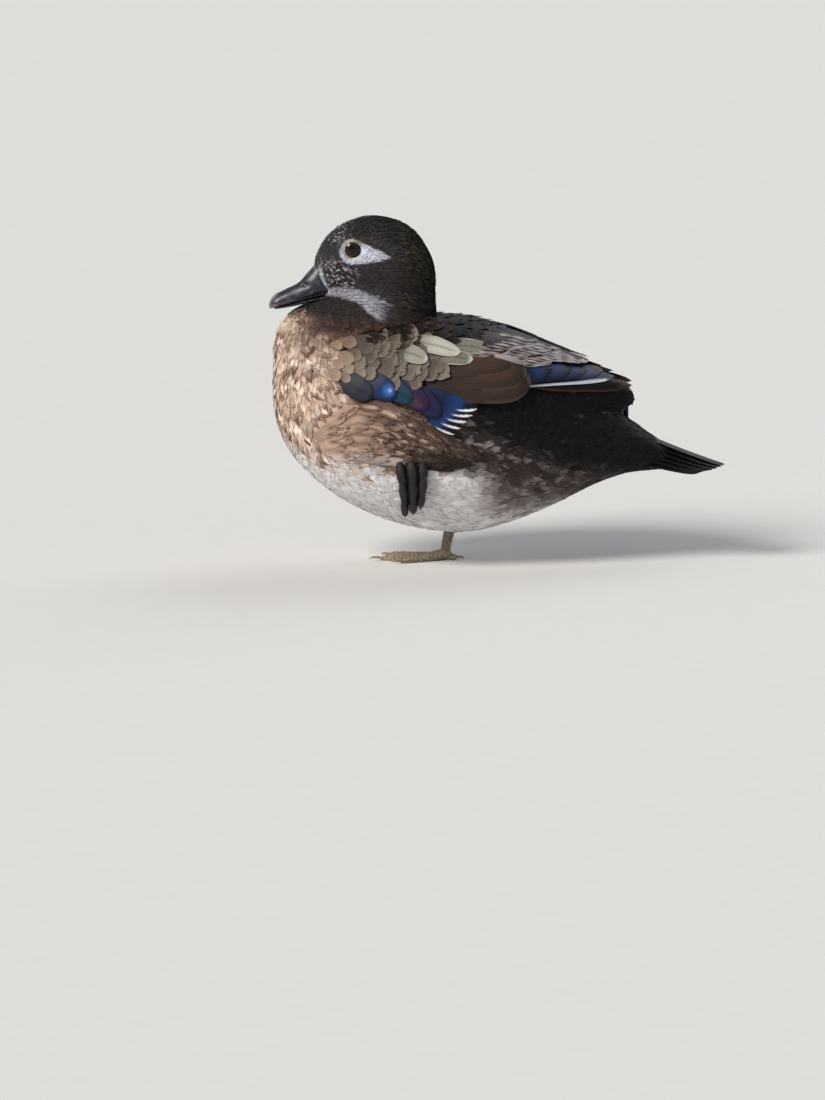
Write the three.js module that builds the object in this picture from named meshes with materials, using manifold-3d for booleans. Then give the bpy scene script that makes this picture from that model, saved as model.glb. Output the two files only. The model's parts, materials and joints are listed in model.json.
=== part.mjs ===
// A wood duck hen, life size, resting on her right leg with the left foot drawn up against the flank.
// Units are millimetres. +Z is up, the hen faces -X, and her left side faces -Y.
// The origin is on the floor, under the middle of the standing foot.
import * as THREE from "three";
import { mergeVertices } from "three/addons/utils/BufferGeometryUtils.js";
import Module from "manifold-3d";

const wasm = await Module();
wasm.setup();

// Clearances between neighbouring pieces
const GAP = 0.4;
const CUT = 0.3;

// Body, neck and head forms. Each row is one cross-section of a rounded form:
// station, upper edge, height of the widest line, lower edge, half width.
const BODY = [
  [-93, 110, 110, 110, 0],
  [-89.5, 131, 108, 85, 21],
  [-78, 142, 100, 63, 37],
  [-56, 146, 93, 42.5, 51],
  [-26, 148.5, 90, 26.5, 59.5],
  [5, 148.5, 88, 18.5, 62.5],
  [32, 145.5, 87, 17.5, 61],
  [58, 136.5, 87, 24, 54],
  [84, 123, 84, 34.5, 43.5],
  [108, 106, 78, 46.5, 32],
  [128, 92, 72.5, 53.5, 26],
  [148, 79.5, 66, 55, 24],
  [168, 68.5, 61, 55.5, 21.5],
  [182, 61.5, 58.5, 56, 14.5],
  [188, 58.2, 58.2, 58.2, 0],
];
const BODY_POWER = 2.3;
// The same five values for the neck, whose stations climb along Z: front edge, widest line, back edge.
const NECK = [
  [98, -40, -40, -40, 0],
  [106, -84, -40, 4, 42],
  [124, -92, -38, 10, 43],
  [138, -91.5, -36, 11, 38],
  [148, -88, -33, 10, 32],
  [154, -83, -30, 9, 28],
  [159, -74, -28, 8.5, 25],
  [166, -57, -25, 8, 21.5],
  [177, -44, -22, 4, 16],
  [184, -20, -20, -20, 0],
];
const NECK_POWER = 2.15;
const HEAD = [
  [-67, 181, 181, 181, 0],
  [-65.2, 190.2, 181, 171.5, 5.4],
  [-60.5, 199.8, 181, 166, 10],
  [-53, 207.6, 182, 162, 14.2],
  [-44, 212.4, 183.5, 158.5, 17.4],
  [-31, 215.4, 184, 155, 20],
  [-16, 213, 183, 153, 21],
  [-5, 206, 180, 153, 19.8],
  [1, 196, 178, 155, 16.5],
  [5, 186, 176, 160, 10.5],
  [6.5, 176, 176, 176, 0],
];
const HEAD_POWER = 2.05;

// Bill
const BILL_UPPER = [
  [-50, 174, 174, 174, 0],
  [-54, 187, 171, 166.3, 7.4],
  [-62, 187, 169.5, 165, 8.1],
  [-68, 181.3, 167, 163.6, 7.8],
  [-75, 173.4, 164.4, 162, 7.1],
  [-83, 169.3, 162.2, 160, 6.7],
  [-89, 165.9, 160.4, 158.6, 6],
  [-92.4, 162, 159, 157, 4],
  [-93.6, 158.8, 158.8, 158.8, 0],
];
const BILL_LOWER = [
  [-48, 165, 165, 165, 0],
  [-54, 166.4, 165.4, 163.6, 6],
  [-62, 165, 163.8, 162, 6.6],
  [-72, 162.6, 161.6, 160, 6],
  [-82, 160, 159.2, 157.9, 5.4],
  [-88.5, 158.4, 157.8, 156.9, 4],
  [-91, 157.4, 157.4, 157.4, 0],
];
const BILL_POWER = 2;
const NOSTRIL = { x: -71, z: 172.6, long: 5.2, high: 2, slope: 0.55 };

// Eyes and lids
const EYE = { x: -41.4, z: 195.4, radius: 8.3, proud: 1.5 };
const LID = { radius: 5.3, thick: 0.75 };

// The outer shape of the folded wings over the back, and the outline of one wing seen from the side
const CLOAK = [
  [-78, 120, 120, 120, 0],
  [-72, 138, 112, 92, 40],
  [-54, 148, 106, 72, 54.5],
  [-26, 152, 100, 62, 63],
  [5, 153, 97, 58, 66.5],
  [34, 150.5, 98, 60, 65],
  [60, 142, 101, 66, 58],
  [84, 132.3, 104, 77, 46],
  [104, 125, 107, 88, 33],
  [120, 119.5, 108.5, 98, 22],
  [131, 114.5, 110, 103.5, 12.5],
  [136, 110.5, 110.5, 110.5, 0],
];
const CLOAK_POWER = 2.25;
const WING_EDGE = [
  [-66, 124],
  [-52, 110],
  [-18, 96],
  [20, 84.5],
  [42, 98],
  [66, 108.5],
  [98, 112.5],
  [126, 109],
  [136, 110.5],
];
const WING_TOP = 175;
const MIDLINE_GAP = 1.2;
// How far the wing's core lies under the cloak, and how deep the vanes' roots are sunk in it
const CORE_DEPTH = 1.8;
const ROOT_DEPTH = 2.6;

// The stations of long and short vanes from root to tip with the breadth at each,
// and a vane's thickness at its edge and shaft
const LONG = { stations: [0, 0.35, 0.72, 0.93, 1], breadth: [0.55, 0.95, 1, 0.68, 0.25] };
const SHORT = { stations: [0, 0.5, 0.86, 1], breadth: [0.6, 1, 0.8, 0.3] };
const EDGE_THICK = 0.55;
const SHAFT_THICK = 1.1;

// Wing vanes in layers, seen from the side: root x and z, tip x and z, half breadth, lift at the tip
const FLIGHT_VANES = [
  // secondaries, whose tips show below the greater coverts
  [-12, 109, 8, 88, 9.5, -0.4],
  [0, 111, 21, 86, 9.5, 0],
  [12, 115, 37, 92, 9.5, 0.4],
  // primaries, longest and lowest first
  [52, 115, 133, 111.5, 5.4, -1],
  [46, 118.5, 123, 114.5, 5.4, -0.5],
  [42, 122.5, 112, 118, 5.4, 0],
  [36, 126.5, 101, 122, 5.4, 0.5],
];
const COVERT_VANES = [
  // greater coverts
  [-50, 114, -31, 100, 9.5, 0.2],
  [-33, 116, -10, 97, 9.5, 0.5],
  [-14, 118, 9, 98.5, 9.5, 0.8],
  // middle coverts
  [-62, 127, -40, 113, 10, 1],
  [-44, 130, -20, 112.5, 10, 1.2],
  [-24, 134, 2, 115, 10, 1.4],
  // lesser coverts
  [-64, 141, -44, 127, 9.5, 1.6],
  [-46, 145, -22, 129, 9.5, 1.8],
];
const TERTIAL_VANES = [
  [10, 122, 67, 113, 12, 1.1],
  [8, 132, 76, 121, 12, 1.5],
  [16, 141, 88, 128, 10.5, 1.8],
  [34, 148, 103, 126.5, 8, 2],
];
const SCAPULAR_VANES = [
  [-20, 142, 10, 126, 10.5, 2],
  [-6, 147, 30, 134, 10.5, 2.2],
  [12, 150.5, 52, 141.5, 10, 2.4],
];

// Tail: where it is parted from the body, its core of coverts, and the fan of long feathers on each side
const TAIL_X = 119;
const TAIL_CORE = [
  [116, 74, 74, 74, 0],
  [117, 95, 73, 51, 26],
  [128, 90.5, 71, 53.5, 24.5],
  [142, 80.5, 66, 55, 20],
  [154, 72, 62.5, 56, 14],
  [163, 66.5, 60.5, 56.6, 7.5],
  [168, 61, 61, 61, 0],
];
const RECTRICES = { perSide: 6, half: 7.2, spread: 2, rootX: 122, rootZ: 87, length: 72 };

// Crest: an ellipsoid over the back of the head, and rows of vanes given in degrees:
// the climb of the roots and of the tips above the level, then the turn of each vane to the side
const CREST = { centre: [-27, 178], long: 36.4, wide: 21.6, high: 36.8, front: -18, foot: 158 };
const CREST_VANES = [
  { root: 86, tip: 50, half: 6.5, turns: [-44, -15, 15, 44] },
  { root: 60, tip: 22, half: 6.2, turns: [-60, -31, 0, 31, 60] },
  { root: 34, tip: -4, half: 6, turns: [-54, -18, 18, 54] },
  { root: 10, tip: -24, half: 5.6, turns: [-36, 0, 36] },
];

// Legs and feet
const BELLY = { x: 20, y: 8 };
const STANDING = { x: 15.5, y: 0, z: 6.2 };
const SHANK = { top: 4.2, bottom: 2.9 };
const TOES = [
  { name: "inner", length: 32, turn: -30, claw: 5.5 },
  { name: "middle", length: 42, turn: -3, claw: 6.5 },
  { name: "outer", length: 39, turn: 23, claw: 5.5 },
  { name: "hind", length: 8, turn: 176, claw: 4.5 },
];
const TOE_RADIUS = 2.5;
const WEB_THICK = 0.9;
const FOLDED = { x: -3.6, z: 71, reach: 45, lean: -4.5, step: 7.2, radius: 2.9, lift: 2.4 };

// Value table between its rows, by a Catmull-Rom curve
const between = (a, b, c, d, f) =>
  b + 0.5 * f * (c - a + f * (2 * a - 5 * b + 4 * c - d + f * (3 * (b - c) + d - a)));

function rowAt(rows, t) {
  const place = t * (rows.length - 1);
  const i = Math.min(Math.floor(place), rows.length - 2);
  const before = rows[Math.max(i - 1, 0)];
  const after = rows[Math.min(i + 2, rows.length - 1)];
  return rows[i].map((value, k) => between(before[k], value, rows[i + 1][k], after[k], place - i));
}

// How far along the rows a station lies, from 0 to 1
function stationOf(rows, station) {
  const rising = rows.at(-1)[0] > rows[0][0] ? 1 : -1;
  let low = 0;
  let high = 1;
  for (let i = 0; i < 40; i++) {
    const middle = (low + high) / 2;
    if ((rowAt(rows, middle)[0] - station) * rising < 0) low = middle;
    else high = middle;
  }
  return (low + high) / 2;
}

const power = (value, exponent) => Math.sign(value) * Math.abs(value) ** exponent;

// A point of a rounded form. The angle runs from 0 on the +Y side to 90 degrees on the upper edge.
function formPoint({ rows, axis, roundness }, t, angle) {
  const [station, upper, widest, lower, half] = rowAt(rows, t);
  const rise = power(Math.sin(angle), 2 / roundness);
  const height = widest + rise * (rise > 0 ? upper - widest : widest - lower);
  const side = Math.max(half, 0) * power(Math.cos(angle), 2 / roundness);
  return axis === "x"
    ? new THREE.Vector3(station, side, height)
    : new THREE.Vector3(height, side, station);
}

// A closed geometry with merged vertices
function sealed(geometry) {
  geometry.deleteAttribute("normal");
  geometry.deleteAttribute("uv");
  return mergeVertices(geometry, 1e-3);
}

// The solid of a closed geometry, pushed outwards by grow
function solid(geometry, grow = 0) {
  const merged = sealed(geometry.clone());
  const points = merged.attributes.position;
  const triVerts = new Uint32Array(merged.index.array);
  const make = () =>
    new wasm.Manifold(new wasm.Mesh({ numProp: 3, vertProperties: points.array, triVerts }));
  if (make().volume() < 0) {
    for (let i = 0; i < triVerts.length; i += 3) {
      [triVerts[i + 1], triVerts[i + 2]] = [triVerts[i + 2], triVerts[i + 1]];
    }
  }
  if (grow) {
    merged.setIndex(new THREE.BufferAttribute(triVerts, 1));
    merged.computeVertexNormals();
    const normals = merged.attributes.normal;
    for (let i = 0; i < points.count; i++) {
      points.setXYZ(
        i,
        points.getX(i) + normals.getX(i) * grow,
        points.getY(i) + normals.getY(i) * grow,
        points.getZ(i) + normals.getZ(i) * grow,
      );
    }
  }
  return make();
}

// A rounded form as a sphere whose rings are set on the form's cross-sections
function form(shape, rings, sides) {
  const geometry = new THREE.SphereGeometry(1, sides, rings);
  const points = geometry.attributes.position;
  for (let i = 0; i < points.count; i++) {
    const ring = Math.floor(i / (sides + 1));
    const t = (1 - Math.cos((Math.PI * ring) / rings)) / 2;
    const angle = (2 * Math.PI * (i % (sides + 1))) / sides;
    const point = formPoint(shape, t, angle);
    points.setXYZ(i, point.x, point.y, point.z);
  }
  return geometry;
}

// A round-ended limb along a path, with its radius at each share of the length
function limb(path, radiusAt, rings, sides, flatness = 1) {
  const curve = new THREE.CatmullRomCurve3(path.map((p) => new THREE.Vector3(...p)));
  const geometry = new THREE.SphereGeometry(1, sides, rings);
  const points = geometry.attributes.position;
  const centre = new THREE.Vector3();
  const tangent = new THREE.Vector3();
  for (let i = 0; i < points.count; i++) {
    const ring = Math.floor(i / (sides + 1));
    const t = ring / rings;
    const angle = (2 * Math.PI * (i % (sides + 1))) / sides;
    curve.getPointAt(t, centre);
    curve.getTangentAt(t, tangent);
    const guide = Math.abs(tangent.z) > 0.8 ? new THREE.Vector3(1, 0, 0) : new THREE.Vector3(0, 0, 1);
    const across = new THREE.Vector3().crossVectors(guide, tangent).normalize();
    const up = new THREE.Vector3().crossVectors(tangent, across);
    const radius = ring === 0 || ring === rings ? 0 : radiusAt(t);
    centre.addScaledVector(across, radius * Math.cos(angle));
    centre.addScaledVector(up, radius * flatness * Math.sin(angle));
    points.setXYZ(i, centre.x, centre.y, centre.z);
  }
  return geometry;
}

// A box between two corners
function block(low, high) {
  const size = high.map((value, i) => value - low[i]);
  const middle = high.map((value, i) => (value + low[i]) / 2);
  return new THREE.BoxGeometry(...size).translate(...middle);
}

// A point moved onto a rounded form's +Y side, with the form's normal there
function ontoForm(shape, point) {
  const t = stationOf(shape.rows, point.x);
  const [, upper, widest, lower, half] = rowAt(shape.rows, t);
  const rise = (point.z - widest) / (point.z > widest ? upper - widest : widest - lower);
  const share = Math.max(point.y, 0.5) / half;
  const angle = Math.atan2(power(rise, shape.roundness / 2), power(share, shape.roundness / 2));
  const surface = formPoint(shape, t, angle);
  const along = formPoint(shape, Math.min(t + 0.01, 1), angle).sub(formPoint(shape, t - 0.01, angle));
  const round = formPoint(shape, t, angle + 0.03).sub(formPoint(shape, t, angle - 0.03));
  return { point: surface, normal: new THREE.Vector3().crossVectors(round, along).normalize() };
}

// The point of a form's +Y side that shows at x and z from the side
function sidePoint(shape, x, z) {
  const [, upper, widest, lower, half] = rowAt(shape.rows, stationOf(shape.rows, x));
  const rise = Math.min(Math.abs(z - widest) / (z > widest ? upper - widest : widest - lower), 0.995);
  return new THREE.Vector3(x, half * (1 - rise ** shape.roundness) ** (1 / shape.roundness), z);
}

// A thin closed blade through sections of six points, with like triangles on both faces
function blade(sections) {
  const index = [];
  for (let i = 0; i + 1 < sections.length; i++) {
    for (let k = 0; k < 6; k++) {
      const a = 6 * i + k;
      const b = 6 * i + ((k + 1) % 6);
      if (k < 3) index.push(a, b, b + 6, a, b + 6, a + 6);
      else index.push(a, b, a + 6, b, b + 6, a + 6);
    }
  }
  const last = 6 * (sections.length - 1);
  for (let k = 1; k < 5; k++) index.push(0, k + 1, k, last, last + k, last + k + 1);
  const geometry = new THREE.BufferGeometry().setFromPoints(sections.flat());
  geometry.setIndex(index);
  return geometry;
}

// A feather's vane along a path over a surface. The surface gives a point moved onto it and its normal.
function vane({ path, surface, half, lift, profile }) {
  const sections = profile.stations.map((s, i) => {
    const centre = path(s);
    const tangent = path(Math.min(s + 0.03, 1)).sub(path(Math.max(s - 0.03, 0)));
    const across = surface(centre).normal.clone().cross(tangent).normalize();
    const columns = [-1, 0, 1].map((c) => {
      const spot = surface(centre.clone().addScaledVector(across, c * half * profile.breadth[i]));
      const thick = c === 0 ? SHAFT_THICK * (1 - 0.4 * s) : EDGE_THICK;
      return [1, -1].map((face) => spot.point.clone().addScaledVector(spot.normal, lift(s) + (face * thick) / 2));
    });
    return [...columns.map(([upper]) => upper), ...columns.map(([, lower]) => lower).reverse()];
  });
  return blade(sections);
}

// The largest closed surface of a solid, as a geometry
function geometryOf(made) {
  const largest = made.decompose().sort((a, b) => b.volume() - a.volume())[0];
  const mesh = largest.getMesh();
  const geometry = new THREE.BufferGeometry();
  geometry.setAttribute("position", new THREE.BufferAttribute(new Float32Array(mesh.vertProperties), 3));
  geometry.setIndex(new THREE.BufferAttribute(new Uint32Array(mesh.triVerts), 1));
  return geometry;
}

const joined = (solids) => solids.reduce((sum, next) => sum.add(next));

const body = { rows: BODY, axis: "x", roundness: BODY_POWER };
const neck = { rows: NECK, axis: "z", roundness: NECK_POWER };
const head = { rows: HEAD, axis: "x", roundness: HEAD_POWER };
const cloak = { rows: CLOAK, axis: "x", roundness: CLOAK_POWER };
const upperBill = { rows: BILL_UPPER, axis: "x", roundness: BILL_POWER };
const lowerBill = { rows: BILL_LOWER, axis: "x", roundness: BILL_POWER };

const bodyForm = form(body, 32, 28);
const neckForm = form(neck, 16, 22);
const headForm = form(head, 18, 20);
const bodyKeepOut = solid(bodyForm, GAP);
const neckKeepOut = solid(neckForm, GAP);

// Torso and tail, parted by a thin upright cut
const beforeTail = solid(block([-150, -120, -50], [TAIL_X, 120, 300]));
const behindTail = solid(block([TAIL_X + CUT, -120, -50], [300, 120, 300]));
const torsoSolid = solid(bodyForm).intersect(beforeTail);

// Each long tail feather lies a little lower and further out than the one before it
function rectrix(order, side) {
  const { half, spread, rootX, rootZ, length } = RECTRICES;
  const turn = THREE.MathUtils.degToRad(1.5 + spread * order);
  const reach = length - 2 * order ** 1.2;
  const root = new THREE.Vector3(rootX, side * (1.5 + 1.2 * order), rootZ - 3.6 * order);
  const tip = new THREE.Vector3(
    rootX + reach * Math.cos(turn) * 0.93,
    side * (1.5 + 1.2 * order + reach * Math.sin(turn)),
    59.4 + 0.35 * order,
  );
  const lean = 0.06 + 0.06 * order;
  const normal = new THREE.Vector3(0.36, side * lean, 1).normalize();
  return vane({
    path: (s) => root.clone().lerp(tip, s).add(new THREE.Vector3(0, 0, -1.2 * Math.sin(Math.PI * s))),
    surface: (point) => ({ point, normal }),
    half,
    lift: () => -0.5 * order + (side < 0 ? 0.35 : 0),
    profile: { stations: SHORT.stations, breadth: [0.55, 0.95, 0.95, 0.55] },
  });
}
const rectrices = [-1, 1].flatMap((side) =>
  Array.from({ length: RECTRICES.perSide }, (_, order) => solid(rectrix(order, side))),
);
const tailCore = { rows: TAIL_CORE, axis: "x", roundness: BODY_POWER };
const tailSolid = joined([solid(form(tailCore, 10, 18)), ...rectrices]).intersect(behindTail);

// Neck above the torso
const neckSolid = solid(neckForm).subtract(bodyKeepOut);

// Eyeball, set so that it stands proud of the head's side
function headHalfWidth(x, z) {
  const [, upper, widest, lower, half] = rowAt(HEAD, stationOf(HEAD, x));
  const rise = (z - widest) / (z > widest ? upper - widest : widest - lower);
  return half * (1 - Math.abs(rise) ** HEAD_POWER) ** (1 / HEAD_POWER);
}
const eyeSide = headHalfWidth(EYE.x, EYE.z);
const eyeY = eyeSide + EYE.proud - EYE.radius;
const eyeball = (side, grow = 0) =>
  new THREE.SphereGeometry(EYE.radius + grow, 14, 10)
    .rotateX(Math.PI / 2)
    .translate(EYE.x, side * eyeY, EYE.z);
const lid = (side) =>
  new THREE.TorusGeometry(LID.radius, LID.thick, 4, 14)
    .rotateX(Math.PI / 2)
    .rotateZ(side * 0.12)
    .translate(EYE.x, side * (eyeSide - 0.1), EYE.z);

// Head with raised lids and an eye socket on each side
const sides = [-1, 1];
const headSolid = joined([solid(headForm), ...sides.map((side) => solid(lid(side)))])
  .subtract(joined(sides.map((side) => solid(eyeball(side, GAP)))))
  .subtract(neckKeepOut);
const headKeepOut = solid(headForm, GAP);

// Bill, with a slit for each nostril
const nostril = (side) =>
  new THREE.SphereGeometry(1, 8, 6)
    .scale(NOSTRIL.long / 2, 1.6, NOSTRIL.high / 2)
    .rotateY(NOSTRIL.slope)
    .translate(NOSTRIL.x, side * 5.4, NOSTRIL.z);
const upperBillForm = form(upperBill, 14, 16);
const upperBillSolid = solid(upperBillForm)
  .subtract(headKeepOut)
  .subtract(neckKeepOut)
  .subtract(joined(sides.map((side) => solid(nostril(side)))));
const lowerBillSolid = solid(form(lowerBill, 12, 12))
  .subtract(solid(upperBillForm, GAP))
  .subtract(headKeepOut)
  .subtract(neckKeepOut);

// Wing, as the part of the cloak inside the wing's outline and outside the body
function wingOutline() {
  const outline = new THREE.Shape();
  outline.moveTo(...WING_EDGE[0]);
  outline.splineThru(WING_EDGE.slice(1).map(([x, z]) => new THREE.Vector2(x, z)));
  outline.lineTo(WING_EDGE.at(-1)[0] + 4, WING_TOP);
  outline.lineTo(-60, WING_TOP);
  outline.closePath();
  return outline;
}
const wingBlank = new THREE.ExtrudeGeometry(wingOutline(), {
  depth: 90,
  bevelEnabled: false,
  curveSegments: 2,
})
  .rotateX(Math.PI / 2)
  .translate(0, 90 + MIDLINE_GAP / 2, 0);
const coreRows = CLOAK.map(([x, upper, widest, lower, half]) => {
  const depth = half ? CORE_DEPTH : 0;
  return [x - (x > 0 ? 4 : 0), upper - depth, widest, lower + depth, half - depth];
});
const wingCore = solid(form({ ...cloak, rows: coreRows }, 18, 18)).intersect(solid(wingBlank));
function wingVane([x0, z0, x1, z1, half, lift]) {
  return vane({
    path: (s) => sidePoint(cloak, x0 + (x1 - x0) * s, z0 + (z1 - z0) * s ** 1.15),
    surface: (point) => ontoForm(cloak, point),
    half,
    profile: x1 - x0 > 45 ? LONG : SHORT,
    lift: (s) => -ROOT_DEPTH + (lift + ROOT_DEPTH) * Math.min(s / 0.7, 1) ** 0.8,
  });
}
const wingVanes = [...FLIGHT_VANES, ...COVERT_VANES, ...TERTIAL_VANES, ...SCAPULAR_VANES];
const nearHalf = solid(block([-150, MIDLINE_GAP / 2, 60], [200, 120, 200]));
const wingSolid = joined([wingCore, ...wingVanes.map((row) => solid(wingVane(row)).intersect(nearHalf))])
  .subtract(bodyKeepOut)
  .subtract(neckKeepOut);

// Crest, hugging the back of the head
function crestPoint(climb, turn) {
  const [up, out] = [climb, turn].map(THREE.MathUtils.degToRad);
  const unit = new THREE.Vector3(Math.cos(out) * Math.cos(up), Math.sin(out), Math.cos(out) * Math.sin(up));
  return unit.multiply(new THREE.Vector3(CREST.long, CREST.wide, CREST.high));
}
function ontoCrest(point) {
  const size = new THREE.Vector3(CREST.long, CREST.wide, CREST.high);
  const unit = point.clone().divide(size).normalize();
  return { point: unit.clone().multiply(size), normal: unit.divide(size).normalize() };
}
const crestVanes = CREST_VANES.flatMap(({ root, tip, half, turns }, row) =>
  turns.map((turn) =>
    vane({
      path: (s) => crestPoint(root + (tip - root) * s, turn * (1 - 0.12 * s)),
      surface: ontoCrest,
      half,
      profile: SHORT,
      lift: (s) => -1.6 + (2.4 + 0.25 * row) * Math.min(s / 0.6, 1),
    }),
  ),
);
const crestCore = new THREE.SphereGeometry(1, 18, 14).scale(CREST.long, CREST.wide, CREST.high);
const crestBlock = solid(block([CREST.front, -60, CREST.foot], [60, 60, 300]));
const crestSolid = joined([crestCore, ...crestVanes].map((part) => solid(part)))
  .translate([CREST.centre[0], 0, CREST.centre[1]])
  .intersect(crestBlock)
  .subtract(headKeepOut)
  .subtract(neckKeepOut);

// Standing foot: three long toes with webs between them, and a short hind toe
const floor = solid(block([-200, -200, -60], [300, 200, 0]));
const toeTip = ({ length, turn }, share = 1) => {
  const angle = THREE.MathUtils.degToRad(turn);
  return [
    STANDING.x - length * share * Math.cos(angle),
    STANDING.y + length * share * Math.sin(angle),
  ];
};
function toe(spec) {
  const knuckles = spec.name === "hind" ? [0.5, 1] : [0.3, 0.6, 0.85, 1];
  const path = [
    [STANDING.x, STANDING.y, STANDING.z - 2],
    ...knuckles.map((share) => [...toeTip(spec, share), TOE_RADIUS * (0.98 - 0.32 * share)]),
  ];
  const radiusAt = (t) => TOE_RADIUS * (1.15 - 0.42 * t) * (1 + 0.06 * Math.sin(6 * Math.PI * t));
  return limb(path, radiusAt, spec.name === "hind" ? 6 : 10, 7);
}
function claw(spec) {
  const share = spec.claw / spec.length;
  const path = [
    [...toeTip(spec, 0.93), 1.9],
    [...toeTip(spec, 1 + 0.5 * share), 2],
    [...toeTip(spec, 1 + share), 0.45],
  ];
  return limb(path, (t) => 1.35 - 1.05 * t, 5, 5);
}
function web() {
  const [inner, middle, outer] = TOES;
  const outline = new THREE.Shape();
  outline.moveTo(STANDING.x + 1, STANDING.y);
  outline.lineTo(...toeTip(inner, 0.97));
  outline.quadraticCurveTo(...toeTip({ length: 30, turn: -16 }), ...toeTip(middle, 0.95));
  outline.quadraticCurveTo(...toeTip({ length: 34, turn: 10 }), ...toeTip(outer, 0.97));
  outline.closePath();
  return new THREE.ExtrudeGeometry(outline, { depth: WEB_THICK, bevelEnabled: false, curveSegments: 8 });
}
const ankle = (grow = 0) =>
  new THREE.SphereGeometry(3.9 + grow, 14, 10).translate(STANDING.x, STANDING.y, STANDING.z - 1.4);
const footSolid = joined([
  solid(web()),
  solid(ankle()),
  ...TOES.map((spec) => solid(toe(spec))),
  ...TOES.map((spec) => solid(claw(spec))),
]).subtract(floor);
const footKeepOut = joined([solid(ankle(GAP)), ...TOES.map((spec) => solid(toe(spec), GAP))]);
const shankPath = [
  [STANDING.x, STANDING.y, STANDING.z - 2],
  [STANDING.x + 1.2, STANDING.y + 1.6, STANDING.z + 5],
  [BELLY.x, BELLY.y, 24],
  [BELLY.x + 3, BELLY.y + 2, 32],
];
const shankSolid = solid(limb(shankPath, (t) => SHANK.bottom + (SHANK.top - SHANK.bottom) * t, 12, 12))
  .subtract(footKeepOut)
  .subtract(bodyKeepOut);

// Folded foot: three toes hanging down the side of the belly
function bodySide(x, z) {
  const [, upper, widest, lower, half] = rowAt(BODY, stationOf(BODY, x));
  const rise = Math.min(Math.abs(z - widest) / (z > widest ? upper - widest : widest - lower), 0.98);
  return half * (1 - rise ** BODY_POWER) ** (1 / BODY_POWER);
}
function foldedToe(order) {
  const bow = 3.2 - 1.4 * order;
  const path = [0, 0.25, 0.5, 0.75, 1].map((share) => {
    const spread = (order - 1) * FOLDED.step * (1 - 0.62 * share);
    const x = FOLDED.x + FOLDED.lean * share + spread - bow * Math.sin(Math.PI * share);
    const z = FOLDED.z - (FOLDED.reach - 3 * order) * share;
    return [x, -(bodySide(x, z) + FOLDED.lift * (1 - 0.3 * share) - (share === 0 ? 4 : 0)), z];
  });
  return limb(path, (t) => FOLDED.radius * (1.1 - 0.55 * t), 9, 8, 1.1);
}
const foldedHeel = new THREE.SphereGeometry(5.4, 14, 10)
  .scale(1.5, 0.9, 0.8)
  .translate(FOLDED.x, -bodySide(FOLDED.x, FOLDED.z) - 0.8, FOLDED.z);
const foldedSolid = joined([solid(foldedHeel), ...[0, 1, 2].map((order) => solid(foldedToe(order)))])
  .subtract(bodyKeepOut);

// Finishes
const finish = (color, roughness, metalness = 0) =>
  new THREE.MeshStandardMaterial({ color, roughness, metalness });
const plumage = finish(0x7d6552, 0.85);
const neckPlumage = finish(0x5b4a3f, 0.85);
const headPlumage = finish(0x4a4745, 0.7);
const wingPlumage = finish(0x5f5547, 0.55);
const tailPlumage = finish(0x2b2622, 0.6);
const crestPlumage = finish(0x34332c, 0.6);
const billHorn = finish(0x4a4a52, 0.4);
const wetEye = finish(0x1a0f08, 0.08);
const scaledSkin = finish(0x8a7a62, 0.6);
const darkSkin = finish(0x2a2725, 0.6);

// The hen, with one named mesh for each part
const hen = new THREE.Group();
function add(name, geometry, material, side = 1) {
  const mesh = new THREE.Mesh(geometry, material);
  mesh.name = name;
  mesh.scale.y = side;
  hen.add(mesh);
}
add("torso", geometryOf(torsoSolid), plumage);
add("neck", geometryOf(neckSolid), neckPlumage);
add("head", geometryOf(headSolid), headPlumage);
add("crest", geometryOf(crestSolid), crestPlumage);
add("bill_upper", geometryOf(upperBillSolid), billHorn);
add("bill_lower", geometryOf(lowerBillSolid), billHorn);
add("tail", geometryOf(tailSolid), tailPlumage);
add("leg_right", geometryOf(shankSolid), scaledSkin);
add("foot_right", geometryOf(footSolid), scaledSkin);
add("foot_left", geometryOf(foldedSolid), darkSkin);
const wingGeometry = geometryOf(wingSolid);
for (const [label, side] of [["left", -1], ["right", 1]]) {
  add(`eye_${label}`, geometryOf(solid(eyeball(side))), wetEye);
  add(`wing_${label}`, wingGeometry, wingPlumage, side);
}

export default hen;
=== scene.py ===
"""A life-size wood duck hen, resting on one leg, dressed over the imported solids.

All forms are worked out in millimetres and turned into metres when a mesh is made.
"""

import json
import math

import bpy
import numpy as np
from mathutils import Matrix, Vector
from mathutils.bvhtree import BVHTree

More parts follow.
